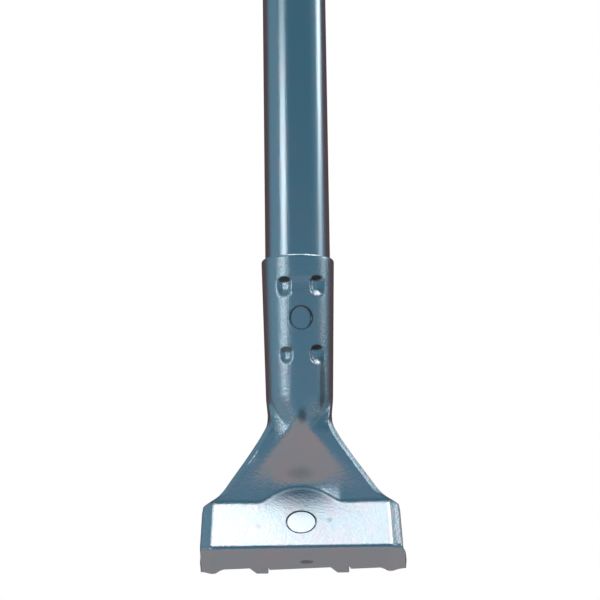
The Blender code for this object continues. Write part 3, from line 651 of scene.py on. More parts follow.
@dataclass
class PressedHead:
    """The one-piece head: socket, neck, plate, side flanges and lip, pressed from a flat blank."""

    sizes: ScraperSizes
    head_width: float = 0.0940
    socket_gap: float = 0.0006
    socket_taper: float = 0.0235
    flare_height: float = 0.038
    plate_flat: float = 0.88
    plate_bend: float = 0.0050
    plate_bend_least: float = 0.0012
    neck_bend: tuple[float, float] = (0.0028, 0.0034)
    neck_change: tuple[float, float] = (1.30, 0.48)
    bend_change: float = 0.0040
    side_turn: float = 0.80
    column_share: float = 0.30
    recess_corner: Point = (0.0240, 0.0115)
    recess_fold: float = 0.0010
    wall_height: float = 0.0085
    wall_forward: float = 0.0010
    flange_rear: tuple[float, float, float] = (0.0095, 0.0060, 0.0060)
    corner_foot: float = 0.0018
    foot_start: float = 0.0362
    foot_ramps: Point = (0.0042, 0.0050)
    foot_rise: float = 0.55
    corner_bulge: float = 0.0014
    bulge_start: float = 0.0435
    bulge_ramp: float = 0.0035
    tooth_start: float = 0.0222
    tooth_pitch: float = 0.0372
    tooth_rise: float = 0.0011
    arch_half_width: float = 0.0180
    arch_height: float = 0.0073
    arch_soft: float = 0.0024
    crimps: tuple[Crimp, ...] = (
        Crimp(math.radians(-22.5), 0.1010, 0.0014, 1.0), Crimp(math.radians(32.0), 0.1015, 0.0023, 1.06),
        Crimp(math.radians(-21.0), 0.0678, 0.0010, 0.84), Crimp(math.radians(32.0), 0.0682, 0.0023, 1.0))
    crimp_turn: float = math.radians(4.5)
    groove_height: float = 0.0996
    groove_depth: float = 0.0004
    shoulder: float = 0.0015
    socket_hole_height: float = 0.0857
    socket_hole_radius: float = 0.0055
    plate_hole_radius: float = 0.0070
    tab_length: float = 0.0036
    tab_width: float = 0.0054
    tab_slant: float = 0.0032
    tab_root: float = 0.003
    tab_inset: float = 0.0001
    tab_centres: Point = (-0.0181, 0.0191)
    cutter_length: float = 0.008
    soft: float = 0.0014
    lip_soft: float = 0.0038
    spans: tuple[tuple[float, int], ...] = ((50.0, 34), (62.0, 7), (72.0, 9), (112.0, 14), (177.0, 12))
    flare_width: Curve = ((1.06, 0.0), (0.90, 0.035), (0.65, 0.22), (0.27, 0.565), (0.075, 0.755),
                          (-0.055, 0.983), (-0.12, 0.998), (-0.24, 1.0))
    flange_splay: Curve = ((1.0, 0.0006), (0.50, 0.0008), (0.0, 0.0010), (-0.15, 0.0005))
    lip_shares: tuple[float, ...] = (0.03, 0.06, 0.10, 0.15, 0.22, 0.32, 0.45, 0.6, 0.75, 0.9, 1.0)

    def __post_init__(self) -> None:
        """Work out the heights of the bend and the lip's edge, and the socket's radius."""
        self.bend_z = -self.sizes.plate_length * self.sizes.down
        self.edge_z = self.bend_z - self.sizes.lip_depth * self.sizes.across
        self.slope = self.sizes.across / self.sizes.down
        self.socket_rim_radius = self.sizes.tube_radius + self.socket_gap + self.sizes.sheet

    # The surface, in the head's frame.

    def socket_radius(self, height: float) -> float:
        """Outer radius of the tapered socket at a height."""
        drop = self.sizes.socket_rim - max(height, self.flare_height)
        near = max(1 - drop / self.shoulder, 0.0)
        turned_in = self.shoulder * (1 - math.sqrt(1 - near * near)) * 0.8
        return self.socket_rim_radius - self.socket_taper * drop - turned_in

    def crimp(self, angle: float, height: float, growth: float = 1.0) -> float:
        """How deep the crimps and the groove between the upper two press the sheet."""
        depth = max(crimp.at(angle, height, growth) for crimp in self.crimps)
        reach = abs(angle - self.crimp_turn) / self.crimps[1].half_angle
        away = height - self.groove_height
        groove = smooth_step(1.6 - reach) * smooth_step(1.5 - max(-away / 0.0009, away / 0.0045))
        return max(depth, self.groove_depth * growth * groove)

    def half_width(self, height: float) -> float:
        """Half the head's width at a height."""
        neck = self.socket_radius(self.flare_height)
        return neck + (self.head_width / 2 - neck) * through(self.flare_width, height / self.flare_height)

    def plate_front(self, height: float) -> float:
        """Depth of the sloping plate's outer face."""
        return height * self.slope - self.sizes.head_forward

    def lip_front(self, height: float) -> float:
        """Depth of the lip's outer face, folded square to the plate."""
        return self.plate_front(self.bend_z) + (self.bend_z - height) / self.slope

    def arch(self, across: float) -> float:
        """How high the plate runs up under the arch, at a distance from the middle."""
        rise = self.arch_height * (1 - (across / self.arch_half_width) ** 2)
        return soft_max(rise, 0.0, self.arch_soft)

    def recess_front(self, across: float, height: float) -> float:
        """Depth of the triangular recess and of the wall below it, which the arch bows backwards."""
        wall = self.plate_front(self.arch(across)) - self.wall_forward
        fall = (self.socket_radius(self.flare_height) + wall) / (self.flare_height - self.wall_height)
        return soft_min(wall, wall - (height - self.wall_height) * fall, self.soft)

    def recess_half_width(self, height: float) -> float:
        """Half the width of the triangular recess, which narrows evenly to its top."""
        width, corner = self.recess_corner
        return width * min(max((self.flare_height - height) / (self.flare_height - corner), 0.0), 1.0)

    def neck_front(self, across: float, height: float) -> float:
        """Depth of the neck: the recess and the upright wings that fold back from its two sides."""
        width, corner = self.recess_corner
        fold = self.flare_height - abs(across) * (self.flare_height - corner) / width
        return soft_max(self.recess_front(across, height), self.recess_front(across, fold), self.recess_fold)

    def front(self, across: float, height: float) -> float:
        """Depth of the head's outer face, seen from the front."""
        depth = soft_min(self.neck_front(across, height), self.plate_front(height), self.soft)
        return soft_max(depth, self.lip_front(height), self.lip_soft)

    def flange_end(self, height: float, corner: float) -> float:
        """Depth of the side flange's rear edge, which follows the pan's rim and then the neck."""
        rim = self.lip_front(self.edge_z) + (height - self.edge_z) * self.slope
        rear, more, blend = self.flange_rear
        neck = smooth_step((height / self.flare_height - 0.5) * 2)
        return max(soft_min(rim, rear + neck * more, blend), corner + self.sizes.sheet)

    def open_slice(self, height: float) -> list[Point]:
        """Half a slice through the flare or the pan: face, rounded side and rearward flange."""
        counts = [count for _, count in self.spans]
        splay = through(self.flange_splay, height / self.flare_height)
        side = self.half_width(height) - splay
        neck_width, neck_depth = self.neck_bend
        plate_width = max(side - self.head_width / 2 * self.plate_flat, self.plate_bend_least)
        below = smooth_step(1 - height / self.bend_change)
        bend_width = neck_width + (plate_width - neck_width) * below
        bend_depth = neck_depth + (self.plate_bend - neck_depth) * below
        face_end = side - bend_width
        recess_end = max(self.recess_half_width(height), side * self.column_share)
        recess_end = min(recess_end, face_end - self.soft * 1.2)
        stops = (0.0, recess_end, recess_end + self.soft, face_end)
        points = [(0.0, self.front(0.0, height))]
        for start, stop, count in zip(stops, stops[1:], counts[:3]):
            for step in range(1, count + 1):
                across = start + (stop - start) * step / count
                points.append((across, self.front(across, height)))
        face = points[-1][1]
        corner = face + bend_depth
        for step in range(1, counts[3] + 1):
            turn = math.pi / 2 * step / counts[3]
            out, back = math.sin(turn), 1 - math.cos(turn)
            back += (out - back) * (1 - back) * self.side_turn
            points.append((face_end + bend_width * out, face + bend_depth * back))
        rear = self.flange_end(height, corner)
        for step in range(1, counts[4] + 1):
            share = step / counts[4]
            points.append((side + splay * share, corner + (rear - corner) * share))
        return points

    def round_slice(self, height: float) -> list[Point]:
        """Half a slice through the socket, from its front round to the seam at the back."""
        radius = self.socket_radius(height)
        points = [(0.0, -radius)]
        start = 0.0
        for stop, count in self.spans:
            for step in range(1, count + 1):
                angle = math.radians(start + (stop - start) * step / count)
                points.append((radius * math.sin(angle), -radius * math.cos(angle)))
            start = stop
        return points

    def half_slice(self, height: float) -> list[Point]:
        """Half a slice at any height, changing smoothly from socket to flare."""
        start, change = self.neck_change
        mix = smooth_step((self.flare_height * start - height) / (self.flare_height * change))
        if mix == 0.0:
            return self.round_slice(height)
        points = self.open_slice(height)
        if mix == 1.0:
            return points
        mixed = []
        for (open_x, open_y), (ring_x, ring_y) in zip(points, self.round_slice(height)):
            across = ring_x + (open_x - ring_x) * mix
            depth = ring_y + (open_y - ring_y) * mix
            inside = smooth_step((self.recess_half_width(height) + self.soft / 2 - across) / self.soft)
            mixed.append((across, depth + inside * max(self.neck_front(across, height) - depth, 0.0)))
        return mixed

    def heights(self) -> list[float]:
        """Heights of the rows, close together where the sheet is pressed or bent."""
        rim = self.sizes.socket_rim
        upper, lower = self.crimps[0].height, self.crimps[2].height
        stops = [(rim, 0.00012), (rim - self.shoulder, 0.0014),
                 (upper + 0.0066, 0.0004), (upper - 0.0064, 0.0016),
                 (lower + 0.0066, 0.0004), (lower - 0.0064, 0.0016), (self.flare_height * 1.30, 0.0007),
                 (0.011, 0.0004), (-0.0065, 0.0009), (self.bend_z + 0.002, 0.0003), (self.bend_z, 0.0003)]
        rows = []
        for (top, step), (bottom, _) in zip(stops, stops[1:]):
            count = max(round((top - bottom) / step), 1)
            rows += [top + (bottom - top) * index / count for index in range(count)]
        return rows + [self.bend_z]

    def lip_rows(self) -> list[list[Vector]]:
        """Rows of the lip: each point goes down its own column to the edge or a corner foot."""
        edge_slice = self.open_slice(self.edge_z)
        count = len(edge_slice)
        rows = []
        for share in self.lip_shares:
            row = []
            for column in range(1 - count, count):
                index, side = abs(column), (-1 if column < 0 else 1)
                across = edge_slice[index][0]
                down, up = self.foot_ramps
                rise = self.foot_rise * smooth_step((across - self.foot_start - up) / up)
                foot = self.corner_foot * smooth_step((across - self.foot_start) / down) * (1 - rise)
                tooth = ((side * across - self.tooth_start) / self.tooth_pitch) % 1.0
                edge = self.edge_z - foot + self.tooth_rise * (tooth - 0.5)
                height = self.bend_z + (edge - self.bend_z) * share
                across, depth = self.open_slice(height)[index]
                bulge = smooth_step((across - self.bulge_start) / self.bulge_ramp)
                bulge *= smooth_step(share / 0.3) * (side > 0)
                row.append(Vector((side * across + self.corner_bulge * bulge, depth, height)))
            rows.append(row)
        return rows

    def crimped(self, point: Vector) -> Vector:
        """Push a point towards the tube's axis where a crimp is pressed."""
        depth = self.crimp(math.atan2(point.x, -point.y), point.z)
        return point + Vector((-point.x, -point.y, 0)).normalized() * depth

    def pressed_rows(self) -> list[list[Vector]]:
        """Every row of the outer face, each from the left edge to the right."""
        rows = []
        for height in self.heights():
            half = [Vector((across, depth, height)) for across, depth in self.half_slice(height)]
            left = [Vector((-point.x, point.y, point.z)) for point in reversed(half[1:])]
            rows.append([self.crimped(point) for point in left + half])
        return rows + self.lip_rows()

    def on_socket(self, angle: float, height: float) -> Place:
        """The world place of a point on the socket."""
        radius = self.socket_radius(height)
        return radius * math.sin(angle), -radius * math.cos(angle), height + self.sizes.valley

    def on_middle(self, across: float, depth: float, height: float) -> Place:
        """The world place of a point of the head's frame."""
        return across, depth, height + self.sizes.valley

    def shade_marks(self) -> tuple[ShadeMark, ...]:
        """Painted shade on each crimp's upper wall, round the rims of both holes, along the socket's crease
        and in the recess, and painted dark patches on the plate and lip.
        """
        socket_hole = self.on_socket(self.crimp_turn, self.socket_hole_height)
        crease = self.on_socket(self.crimp_turn + math.radians(38), 0.0530)
        plate_hole = tuple(self.sizes.clamp_frame.translation)
        found = [
            # Painted shade: dark rings at the rims of the two holes, where their walls are in shade, and a
            # dark line down the socket's crease.
            ShadeMark(socket_hole, 0.00014, 0.00028, 0.7, radius=self.socket_hole_radius + 0.0001),
            ShadeMark(crease, 0.0010, 0.0014, 0.6, 0.12),
            ShadeMark(plate_hole, 0.00016, 0.00022, 0.8, radius=self.plate_hole_radius),
            # Painted shade low in the recess and in the crease at its apex; dark patches painted on the
            # plate and lip.
            ShadeMark(self.on_middle(0.0, -0.0060, 0.0125), 0.0015, 0.0075, 0.22, 1.8),
            ShadeMark(self.on_middle(0.0012, -0.0160, 0.0388), 0.0006, 0.0028, 0.55, 0.6),
            ShadeMark(self.on_middle(0.0132, self.plate_front(-0.0095), -0.0095), 0.0003, 0.0015, 0.3),
            ShadeMark(self.on_middle(-0.0200, self.plate_front(-0.0120), -0.0120), 0.0003, 0.0018, 0.14),
            ShadeMark(self.on_middle(0.0022, self.lip_front(-0.0285), -0.0285), 0.0022, 0.0016, 0.5, 3.4)]
        # Painted shade on each crimp's steep upper wall, which faces down.
        for crimp in self.crimps:
            above = self.on_socket(crimp.angle, crimp.height + 0.0032 * crimp.size)
            found.append(ShadeMark(above, 0.0024, 0.0016, min(620.0 * crimp.depth, 0.9), 2.1))
        return tuple(found)

    # The modelling.

    def pressed_blank(self) -> bpy.types.Object:
        """Press a flat grid into the head's outer face."""
        rows = self.pressed_rows()
        wide, tall = len(rows[0]) - 1, len(rows) - 1
        deselect_all()
        bpy.ops.mesh.primitive_grid_add(x_subdivisions=wide, y_subdivisions=tall, size=1.0)
        blank = name_piece("pressed_head")
        for vertex in blank.data.vertices:
            column = round((vertex.co.x + 0.5) * wide)
            row = round((0.5 - vertex.co.y) * tall)
            vertex.co = rows[row][column]
        return blank

    def tab(self, centre: float) -> bpy.types.Object:
        """A tab below the lip's edge, with one slanted side and one square side, in the clamp's frame."""
        root = self.sizes.lip_depth - self.tab_root
        end = self.sizes.lip_depth + self.tab_length
        inside = self.sizes.lip_inside + self.tab_inset
        outside = self.sizes.lip_inside + self.sizes.sheet - self.tab_inset
        half = self.tab_width / 2
        tab = block("tab", (centre - half, inside, root), (centre + half, outside, end))
        for vertex in tab.data.vertices:
            if vertex.co.x < centre:
                vertex.co.x -= self.tab_slant * (end - vertex.co.z) / self.tab_length
        round_edges(tab, 0.0004, 2)
        place(tab, self.sizes.head_frame.inverted() @ self.sizes.clamp_frame)
        return tab

    def cutter(self, radius: float, along: float, matrix: Matrix) -> bpy.types.Object:
        """A round cutter whose axis is its own Z, placed by a matrix."""
        tool = rod("cutter", radius, self.cutter_length, (0, 0, along), 96)
        place(tool, matrix)
        return tool

    def build(self, finish: bpy.types.Material) -> bpy.types.Object:
        """Press, thicken, pierce and dress the head.

        Args:
            finish: its material.

        Returns:
            The head, in world coordinates.
        """
        head = self.pressed_blank()
        face_outwards(head)
        apply_modifier(head, "SOLIDIFY", thickness=self.sizes.sheet, offset=-1, use_even_offset=True)
        for centre in self.tab_centres:
            combine(head, self.tab(centre), "UNION")
        to_head = self.sizes.head_frame.inverted() @ self.sizes.clamp_frame
        combine(head, self.cutter(self.plate_hole_radius, 0.0, to_head), "DIFFERENCE")
        turn = Matrix.Rotation(self.crimp_turn, 4, "Z") @ Matrix.Rotation(math.pi / 2, 4, "X")
        lift = Matrix.Translation((0, 0, self.socket_hole_height))
        reach = self.socket_radius(self.socket_hole_height)
        combine(head, self.cutter(self.socket_hole_radius, reach, lift @ turn), "DIFFERENCE")
        round_edges(head, 0.00022, 2, 50.0)
        place(head, self.sizes.head_frame)
        smooth(head, 40.0)
        return dress(head, finish, Body.HEAD, "scraper_head")


@dataclass
class Handle:
    """The steel tube, the ribbed grip on it and the end plug it hangs by."""

    sizes: ScraperSizes
    head: PressedHead
    crimp_growth: float = 1.2
    around: int = 160
    grip_wall: float = 0.0024
    grip_rib: float = 0.0009
    grip_ribs: int = 9
    grip_flange: float = 0.0045
    rib_shape: Curve = ((0.04, 0.8), (0.10, 0.3), (0.17, 0.04), (0.24, 0.0), (0.56, 0.0), (0.63, 0.04),
                        (0.70, 0.3), (0.76, 0.8), (0.82, 1.0), (0.98, 1.0))
    crimped_rows: int = 100
    plain_rows: int = 12
    plug_wall: float = 0.0022
    plug_cap: float = 0.004
    tongue_half: float = 0.003
    tongue_radius: float = 0.0105
    hang_hole_radius: float = 0.0042

    def __post_init__(self) -> None:
        """Read the grip's and the plug's places from the frame."""
        self.grip_low, self.grip_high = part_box("hand_grip")
        self.plug_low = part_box("end_plug")[0]

    def tube_radius(self, angle: float, height: float) -> float:
        """Outer radius of the tube, swaged and crimped where it sits inside the socket."""
        drop = self.sizes.socket_rim - height
        socket = self.head.socket_rim_radius - self.head.socket_taper * drop
        socket -= self.sizes.sheet + self.sizes.gap
        return min(self.sizes.tube_radius, socket) - self.head.crimp(angle, height, self.crimp_growth)

    def tube(self, finish: bpy.types.Material) -> bpy.types.Object:
        """The steel tube: a long cylinder, cut into rows and squeezed in the socket."""
        bottom = self.sizes.socket_rim - self.sizes.tube_insert
        top = self.grip_high[2] - self.sizes.valley
        rows = self.crimped_rows + self.plain_rows
        deselect_all()
        bpy.ops.mesh.primitive_grid_add(x_subdivisions=self.around, y_subdivisions=rows, size=1.0)
        tube = name_piece("steel_tube")
        rim = self.sizes.socket_rim
        for vertex in tube.data.vertices:
            row = (vertex.co.y + 0.5) * rows
            if row <= self.crimped_rows:
                height = bottom + (rim - bottom) * row / self.crimped_rows
            else:
                height = rim + (top - rim) * (row - self.crimped_rows) / self.plain_rows
            angle = vertex.co.x * 2 * math.pi
            radius = self.tube_radius(angle, height)
            vertex.co = (radius * math.sin(angle), -radius * math.cos(angle), height)
        edit_all(tube)
        bpy.ops.mesh.remove_doubles(threshold=0.000005)
        leave_edit()
        face_outwards(tube)
        apply_modifier(tube, "SOLIDIFY", thickness=self.sizes.tube_wall, offset=-1)
        round_edges(tube, 0.0002, 2, 50.0)
        place(tube, self.sizes.head_frame)
        smooth(tube)
        return dress(tube, finish, Body.HEAD, "handle_tube")

    def grip(self, finish: bpy.types.Material) -> bpy.types.Object:
        """The soft grip: a sleeve with raised rings and a rolled collar at each end."""
        inner = self.sizes.tube_radius + self.sizes.gap
        outer = inner + self.grip_wall
        bottom, top = self.grip_low[2], self.grip_high[2]
        pitch = (top - bottom - 2 * self.grip_flange) / self.grip_ribs
        crest = outer + self.grip_rib
        profile = [(inner, top), (outer, top), (crest - 0.0003, top - 0.0005), (crest, top - 0.0012),
                   (crest, top - self.grip_flange + 0.0004)]
        for rib in range(self.grip_ribs):
            start = top - self.grip_flange - rib * pitch
            profile += [(outer + self.grip_rib * lift, start - pitch * share)
                        for share, lift in self.rib_shape]
        profile += [(crest, bottom + 0.0012), (crest - 0.0003, bottom + 0.0005), (outer, bottom),
                    (inner, bottom)]
        grip = spun("ribbed_grip", profile, 96)
        round_edges(grip, 0.0002, 2, 40.0)
        smooth(grip, 40.0)
        return dress(grip, finish, Body.HEAD, "hand_grip")

    def plug(self, finish: bpy.types.Material) -> bpy.types.Object:
        """The end plug: a hollow skirt in the tube, a domed cap and a flat tongue with a hang hole."""
        skirt = self.sizes.tube_radius - self.sizes.tube_wall - self.sizes.gap
        bore = skirt - self.plug_wall
        rim = self.sizes.tube_radius + self.sizes.gap + self.grip_wall
        seat = self.grip_high[2] + self.sizes.gap
        cap = seat + self.plug_cap
        low = self.plug_low[2]
        profile = [(0, seat + 0.0006), (bore, seat + 0.0006), (bore, low), (skirt - 0.0004, low),
                   (skirt, low + 0.0015), (skirt, seat), (rim - 0.0003, seat), (rim, seat + 0.0003),
                   (rim, cap - 0.0018), (rim - 0.0003, cap - 0.0010), (rim - 0.0009, cap - 0.0004),
                   (rim - 0.0018, cap), (0, cap)]
        plug = spun("hanging_plug", profile, 96)
        across, half = self.tongue_radius, self.tongue_half
        tongue = block("tongue", (-across, -half, cap - 0.002), (across, half, 0.0))
        combine(tongue, rod("round_end", across, 2 * half, (0, 0, 0), 72, math.pi / 2), "UNION")
        combine(tongue, rod("hole", self.hang_hole_radius, 0.02, (0, 0, 0), 64, math.pi / 2), "DIFFERENCE")
        round_edges(tongue, 0.0007, 3, 40.0)
        combine(plug, tongue, "UNION")
        smooth(plug, 35.0)
        return dress(plug, finish, Body.HEAD, "end_plug")


@dataclass
class BladeClamp:
    """What holds the blade: backing channel, bolt, blade, clamp plate, washers and wing nut."""

    sizes: ScraperSizes
    bolt_head_radius: float = 0.0098
    bolt_head_thickness: float = 0.0014
    boss_radius: float = 0.0066
    boss_drop: float = 0.0002
    bolt_length: float = 0.0265
    thread_lead: float = 0.0010
    thread_depth: float = 0.00028
    plain_shank: float = 0.003
    blade_width: float = 0.0760
    blade_depth: float = 0.0380
    blade_thickness: float = 0.0008
    blade_bevel: float = 0.0022
    bevel_share: float = 0.85
    stop_gap: float = 0.0004
    clamp_width: float = 0.0640
    clamp_front: float = 0.0115
    clamp_rear: float = 0.0125
    clamp_thickness: float = 0.0015
    clamp_corner: float = 0.0040
    edge_inset: float = 0.0050
    edge_rise: float = 0.0030
    washer_thickness: float = 0.0010
    washer_radius: float = 0.0065
    lock_thickness: float = 0.0014
    lock_radius: float = 0.0055
    nut_height: float = 0.0052
    nut_radius: float = 0.0056
    wing_span: float = 0.0270
    wing_rise: float = 0.0035
    wing_half: float = 0.0010
    ear_radius: float = 0.0036

    def __post_init__(self) -> None:
        """Stack the pieces along the bolt, from the plate's outer face."""
        gap = self.sizes.gap
        self.head_top = self.sizes.sheet + gap
        self.blade_top = self.sizes.lip_depth + gap
        self.clamp_top = self.blade_top + self.blade_thickness + gap
        self.washer_top = self.clamp_top + self.clamp_thickness + gap
        self.lock_top = self.washer_top + self.washer_thickness + gap
        self.nut_top = self.lock_top + self.lock_thickness + gap
        self.bore = self.sizes.bolt_radius + self.sizes.bolt_clearance

    def finish_piece(self, piece: bpy.types.Object, finish: bpy.types.Material, body: Body, node: str) -> bpy.types.Object:
        """Move a piece from the clamp's frame to the world and dress it."""
        place(piece, self.sizes.clamp_frame)
        smooth(piece, 35.0)
        return dress(piece, finish, body, node)

    def ring(self, name: str, radius: float, top: float, low: float) -> bpy.types.Object:
        """A flat ring around the bolt, between two depths."""
        return spun(name, [(self.bore, top), (radius, top), (radius, low), (self.bore, low)], 64)

    def bore_through(self, piece: bpy.types.Object, depth: float) -> None:
        """Drill the bolt's clearance hole through a sheet at a depth."""
        combine(piece, rod("drill", self.bore, 0.008, (0, 0, depth)), "DIFFERENCE")

    def bolt(self, finish: bpy.types.Material) -> bpy.types.Object:
        """The clamp bolt: a flat head and a shank whose thread is turned as close grooves."""
        head_end = self.head_top + self.bolt_head_thickness
        radius, wide, lead = self.sizes.bolt_radius, self.bolt_head_radius, self.thread_lead
        boss, drop = self.boss_radius, self.boss_drop
        start = head_end + self.plain_shank
        profile = [(0, drop), (boss - 0.0002, drop), (boss, drop + 0.0002), (boss, self.head_top),
                   (wide - 0.0003, self.head_top), (wide, self.head_top + 0.0003), (wide, head_end - 0.0002),
                   (wide - 0.0002, head_end), (radius, head_end), (radius, start)]
        turns = int((self.bolt_length - 0.0008 - start) / lead)
        for turn in range(turns):
            crest = start + turn * lead
            profile += [(radius - self.thread_depth, crest + lead * 0.5), (radius, crest + lead * 0.93),
                        (radius, crest + lead)]
        profile += [(radius - 0.0006, self.bolt_length), (0, self.bolt_length)]
        bolt = spun("flat_head_bolt", profile, 48)
        return self.finish_piece(bolt, finish, Body.HEAD, "clamp_bolt")

    def washer(self, finish: bpy.types.Material) -> bpy.types.Object:
        """The flat washer."""
        low = self.washer_top + self.washer_thickness
        washer = self.ring("flat_washer_piece", self.washer_radius, self.washer_top, low)
        round_edges(washer, 0.00018, 2)
        return self.finish_piece(washer, finish, Body.CLAMP, "flat_washer")

    def lock_washer(self, finish: bpy.types.Material) -> bpy.types.Object:
        """The lock washer, split across on a slant."""
        low = self.lock_top + self.lock_thickness
        washer = self.ring("split_washer", self.lock_radius, self.lock_top, low)
        split = block("split", (0, -0.0005, self.lock_top - 0.004), (0.02, 0.0005, low + 0.004))
        place(split, Matrix.Rotation(math.radians(37), 4, "Z"))
        combine(washer, split, "DIFFERENCE")
        round_edges(washer, 0.00015, 2)
        return self.finish_piece(washer, finish, Body.CLAMP, "lock_washer")

    def wing_nut(self, finish: bpy.types.Material) -> bpy.types.Object:
        """The wing nut: a coned hub and two wings with rounded tips."""
        top = self.nut_top
        low = top + self.nut_height
        profile = [(self.bore, top), (self.nut_radius, top), (self.nut_radius, top + 0.0012),
                   (self.nut_radius - 0.0002, top + 0.0018), (self.nut_radius - 0.0010, low),
                   (self.bore, low)]
        nut = spun("wing_nut_piece", profile, 64)
        for side in (-1, 1):
            combine(nut, self.wing(side, top, low), "UNION")
        round_edges(nut, 0.0004, 3, 35.0)
        return self.finish_piece(nut, finish, Body.NUT, "wing_nut")

    def wing(self, side: int, top: float, low: float) -> bpy.types.Object:
        """One wing of the nut: a web that ends in a round ear.

        Args:
            side: -1 for left, 1 for right.
            top: depth of the nut's bearing face.
            low: depth of the hub's free end.

        Returns:
            The wing, ready to join the hub.
        """
        root, ear, half = self.bore + 0.0009, self.ear_radius, self.wing_half
        middle = (self.wing_span / 2 - ear, 0, low + self.wing_rise - ear)
        web = block("web", (root, -half, top + 0.0015), (middle[0], half, middle[2]))
        for vertex in web.data.vertices:
            if vertex.co.x < root + 0.0001 and vertex.co.z > top + 0.002:
                vertex.co.z = low - 0.0008
            elif vertex.co.z > top + 0.002:
                vertex.co.z = low + self.wing_rise - 0.0009
        combine(web, rod("ear", ear, 2 * half, middle, 40, math.pi / 2), "UNION")
        if side < 0:
            place(web, Matrix.Rotation(math.pi, 4, "Z"))
        return web

    def blade(self, finish: bpy.types.Material) -> bpy.types.Object:
        """The blade, put away with its bevelled edge to the rear; its open slot clears the bolt."""
        front = self.sizes.lip_inside - self.stop_gap
        rear = front - self.blade_depth
        half = self.blade_width / 2
        low = self.blade_top + self.blade_thickness
        blade = block("steel_blade", (-half, rear, self.blade_top), (half, front, low))
        select_edges(blade, lambda a, b: max(a.y, b.y) < rear + 0.0001 and max(a.z, b.z) < low - 0.0001)
        bpy.ops.mesh.bevel(offset=0.0001, segments=1)
        leave_edit()
        edge = block("edge", (-half - 0.01, rear - 0.02, self.blade_top - 0.01),
                     (half + 0.01, rear, self.blade_top))
        slope = math.atan2(self.blade_thickness * self.bevel_share, self.blade_bevel)
        pivot = Vector((0, rear + self.blade_bevel, self.blade_top))
        tilt = Matrix.Translation(pivot) @ Matrix.Rotation(-slope, 4, "X") @ Matrix.Translation(-pivot)
        place(edge, tilt @ Matrix.Translation((0, self.blade_bevel, 0)))
        combine(blade, edge, "DIFFERENCE")
        slot = block("slot", (-self.bore, -self.stop_gap, self.blade_top - 0.004),
                     (self.bore, front + 0.004, low + 0.004))
        middle = (0, -self.stop_gap, (self.blade_top + low) / 2)
        combine(slot, rod("slot_end", self.bore, 0.0088, middle), "UNION")
        combine(blade, slot, "DIFFERENCE")
        round_edges(blade, 0.00008, 1, 50.0)
        return self.finish_piece(blade, finish, Body.BLADE, "blade")

    def clamp_plate(self, finish: bpy.types.Material) -> bpy.types.Object:
        """The clamp plate: rounded corners, a turned rear edge and the bolt's hole."""
        half = self.clamp_width / 2
        low = self.clamp_top + self.clamp_thickness
        plate = block("blade_clamp_plate", (-half, -self.clamp_rear, self.clamp_top),
                      (half, self.clamp_front, low))
        select_edges(plate, lambda a, b: abs(a.x - b.x) < 1e-6 and abs(a.y - b.y) < 1e-6)
        bpy.ops.mesh.bevel(offset=self.clamp_corner, segments=8)
        leave_edit()
        stiff = half - self.edge_inset
        turned_edge = block("turned_edge", (-stiff, -self.clamp_rear + 0.0001, self.clamp_top + 0.0003),
                            (stiff, -self.clamp_rear + self.clamp_thickness, low + self.edge_rise))
        combine(plate, turned_edge, "UNION")
        self.bore_through(plate, self.clamp_top)
        round_edges(plate, 0.0002, 2, 40.0)
        return self.finish_piece(plate, finish, Body.CLAMP, "clamp_plate")

    def backing(self, finish: bpy.types.Material) -> bpy.types.Object:
        """The backing channel: its frame node as it is, in a better material."""
        channel = bpy.data.objects["blade_backing"]
        channel.data.materials.clear()
        channel.data.materials.append(finish)
        return channel


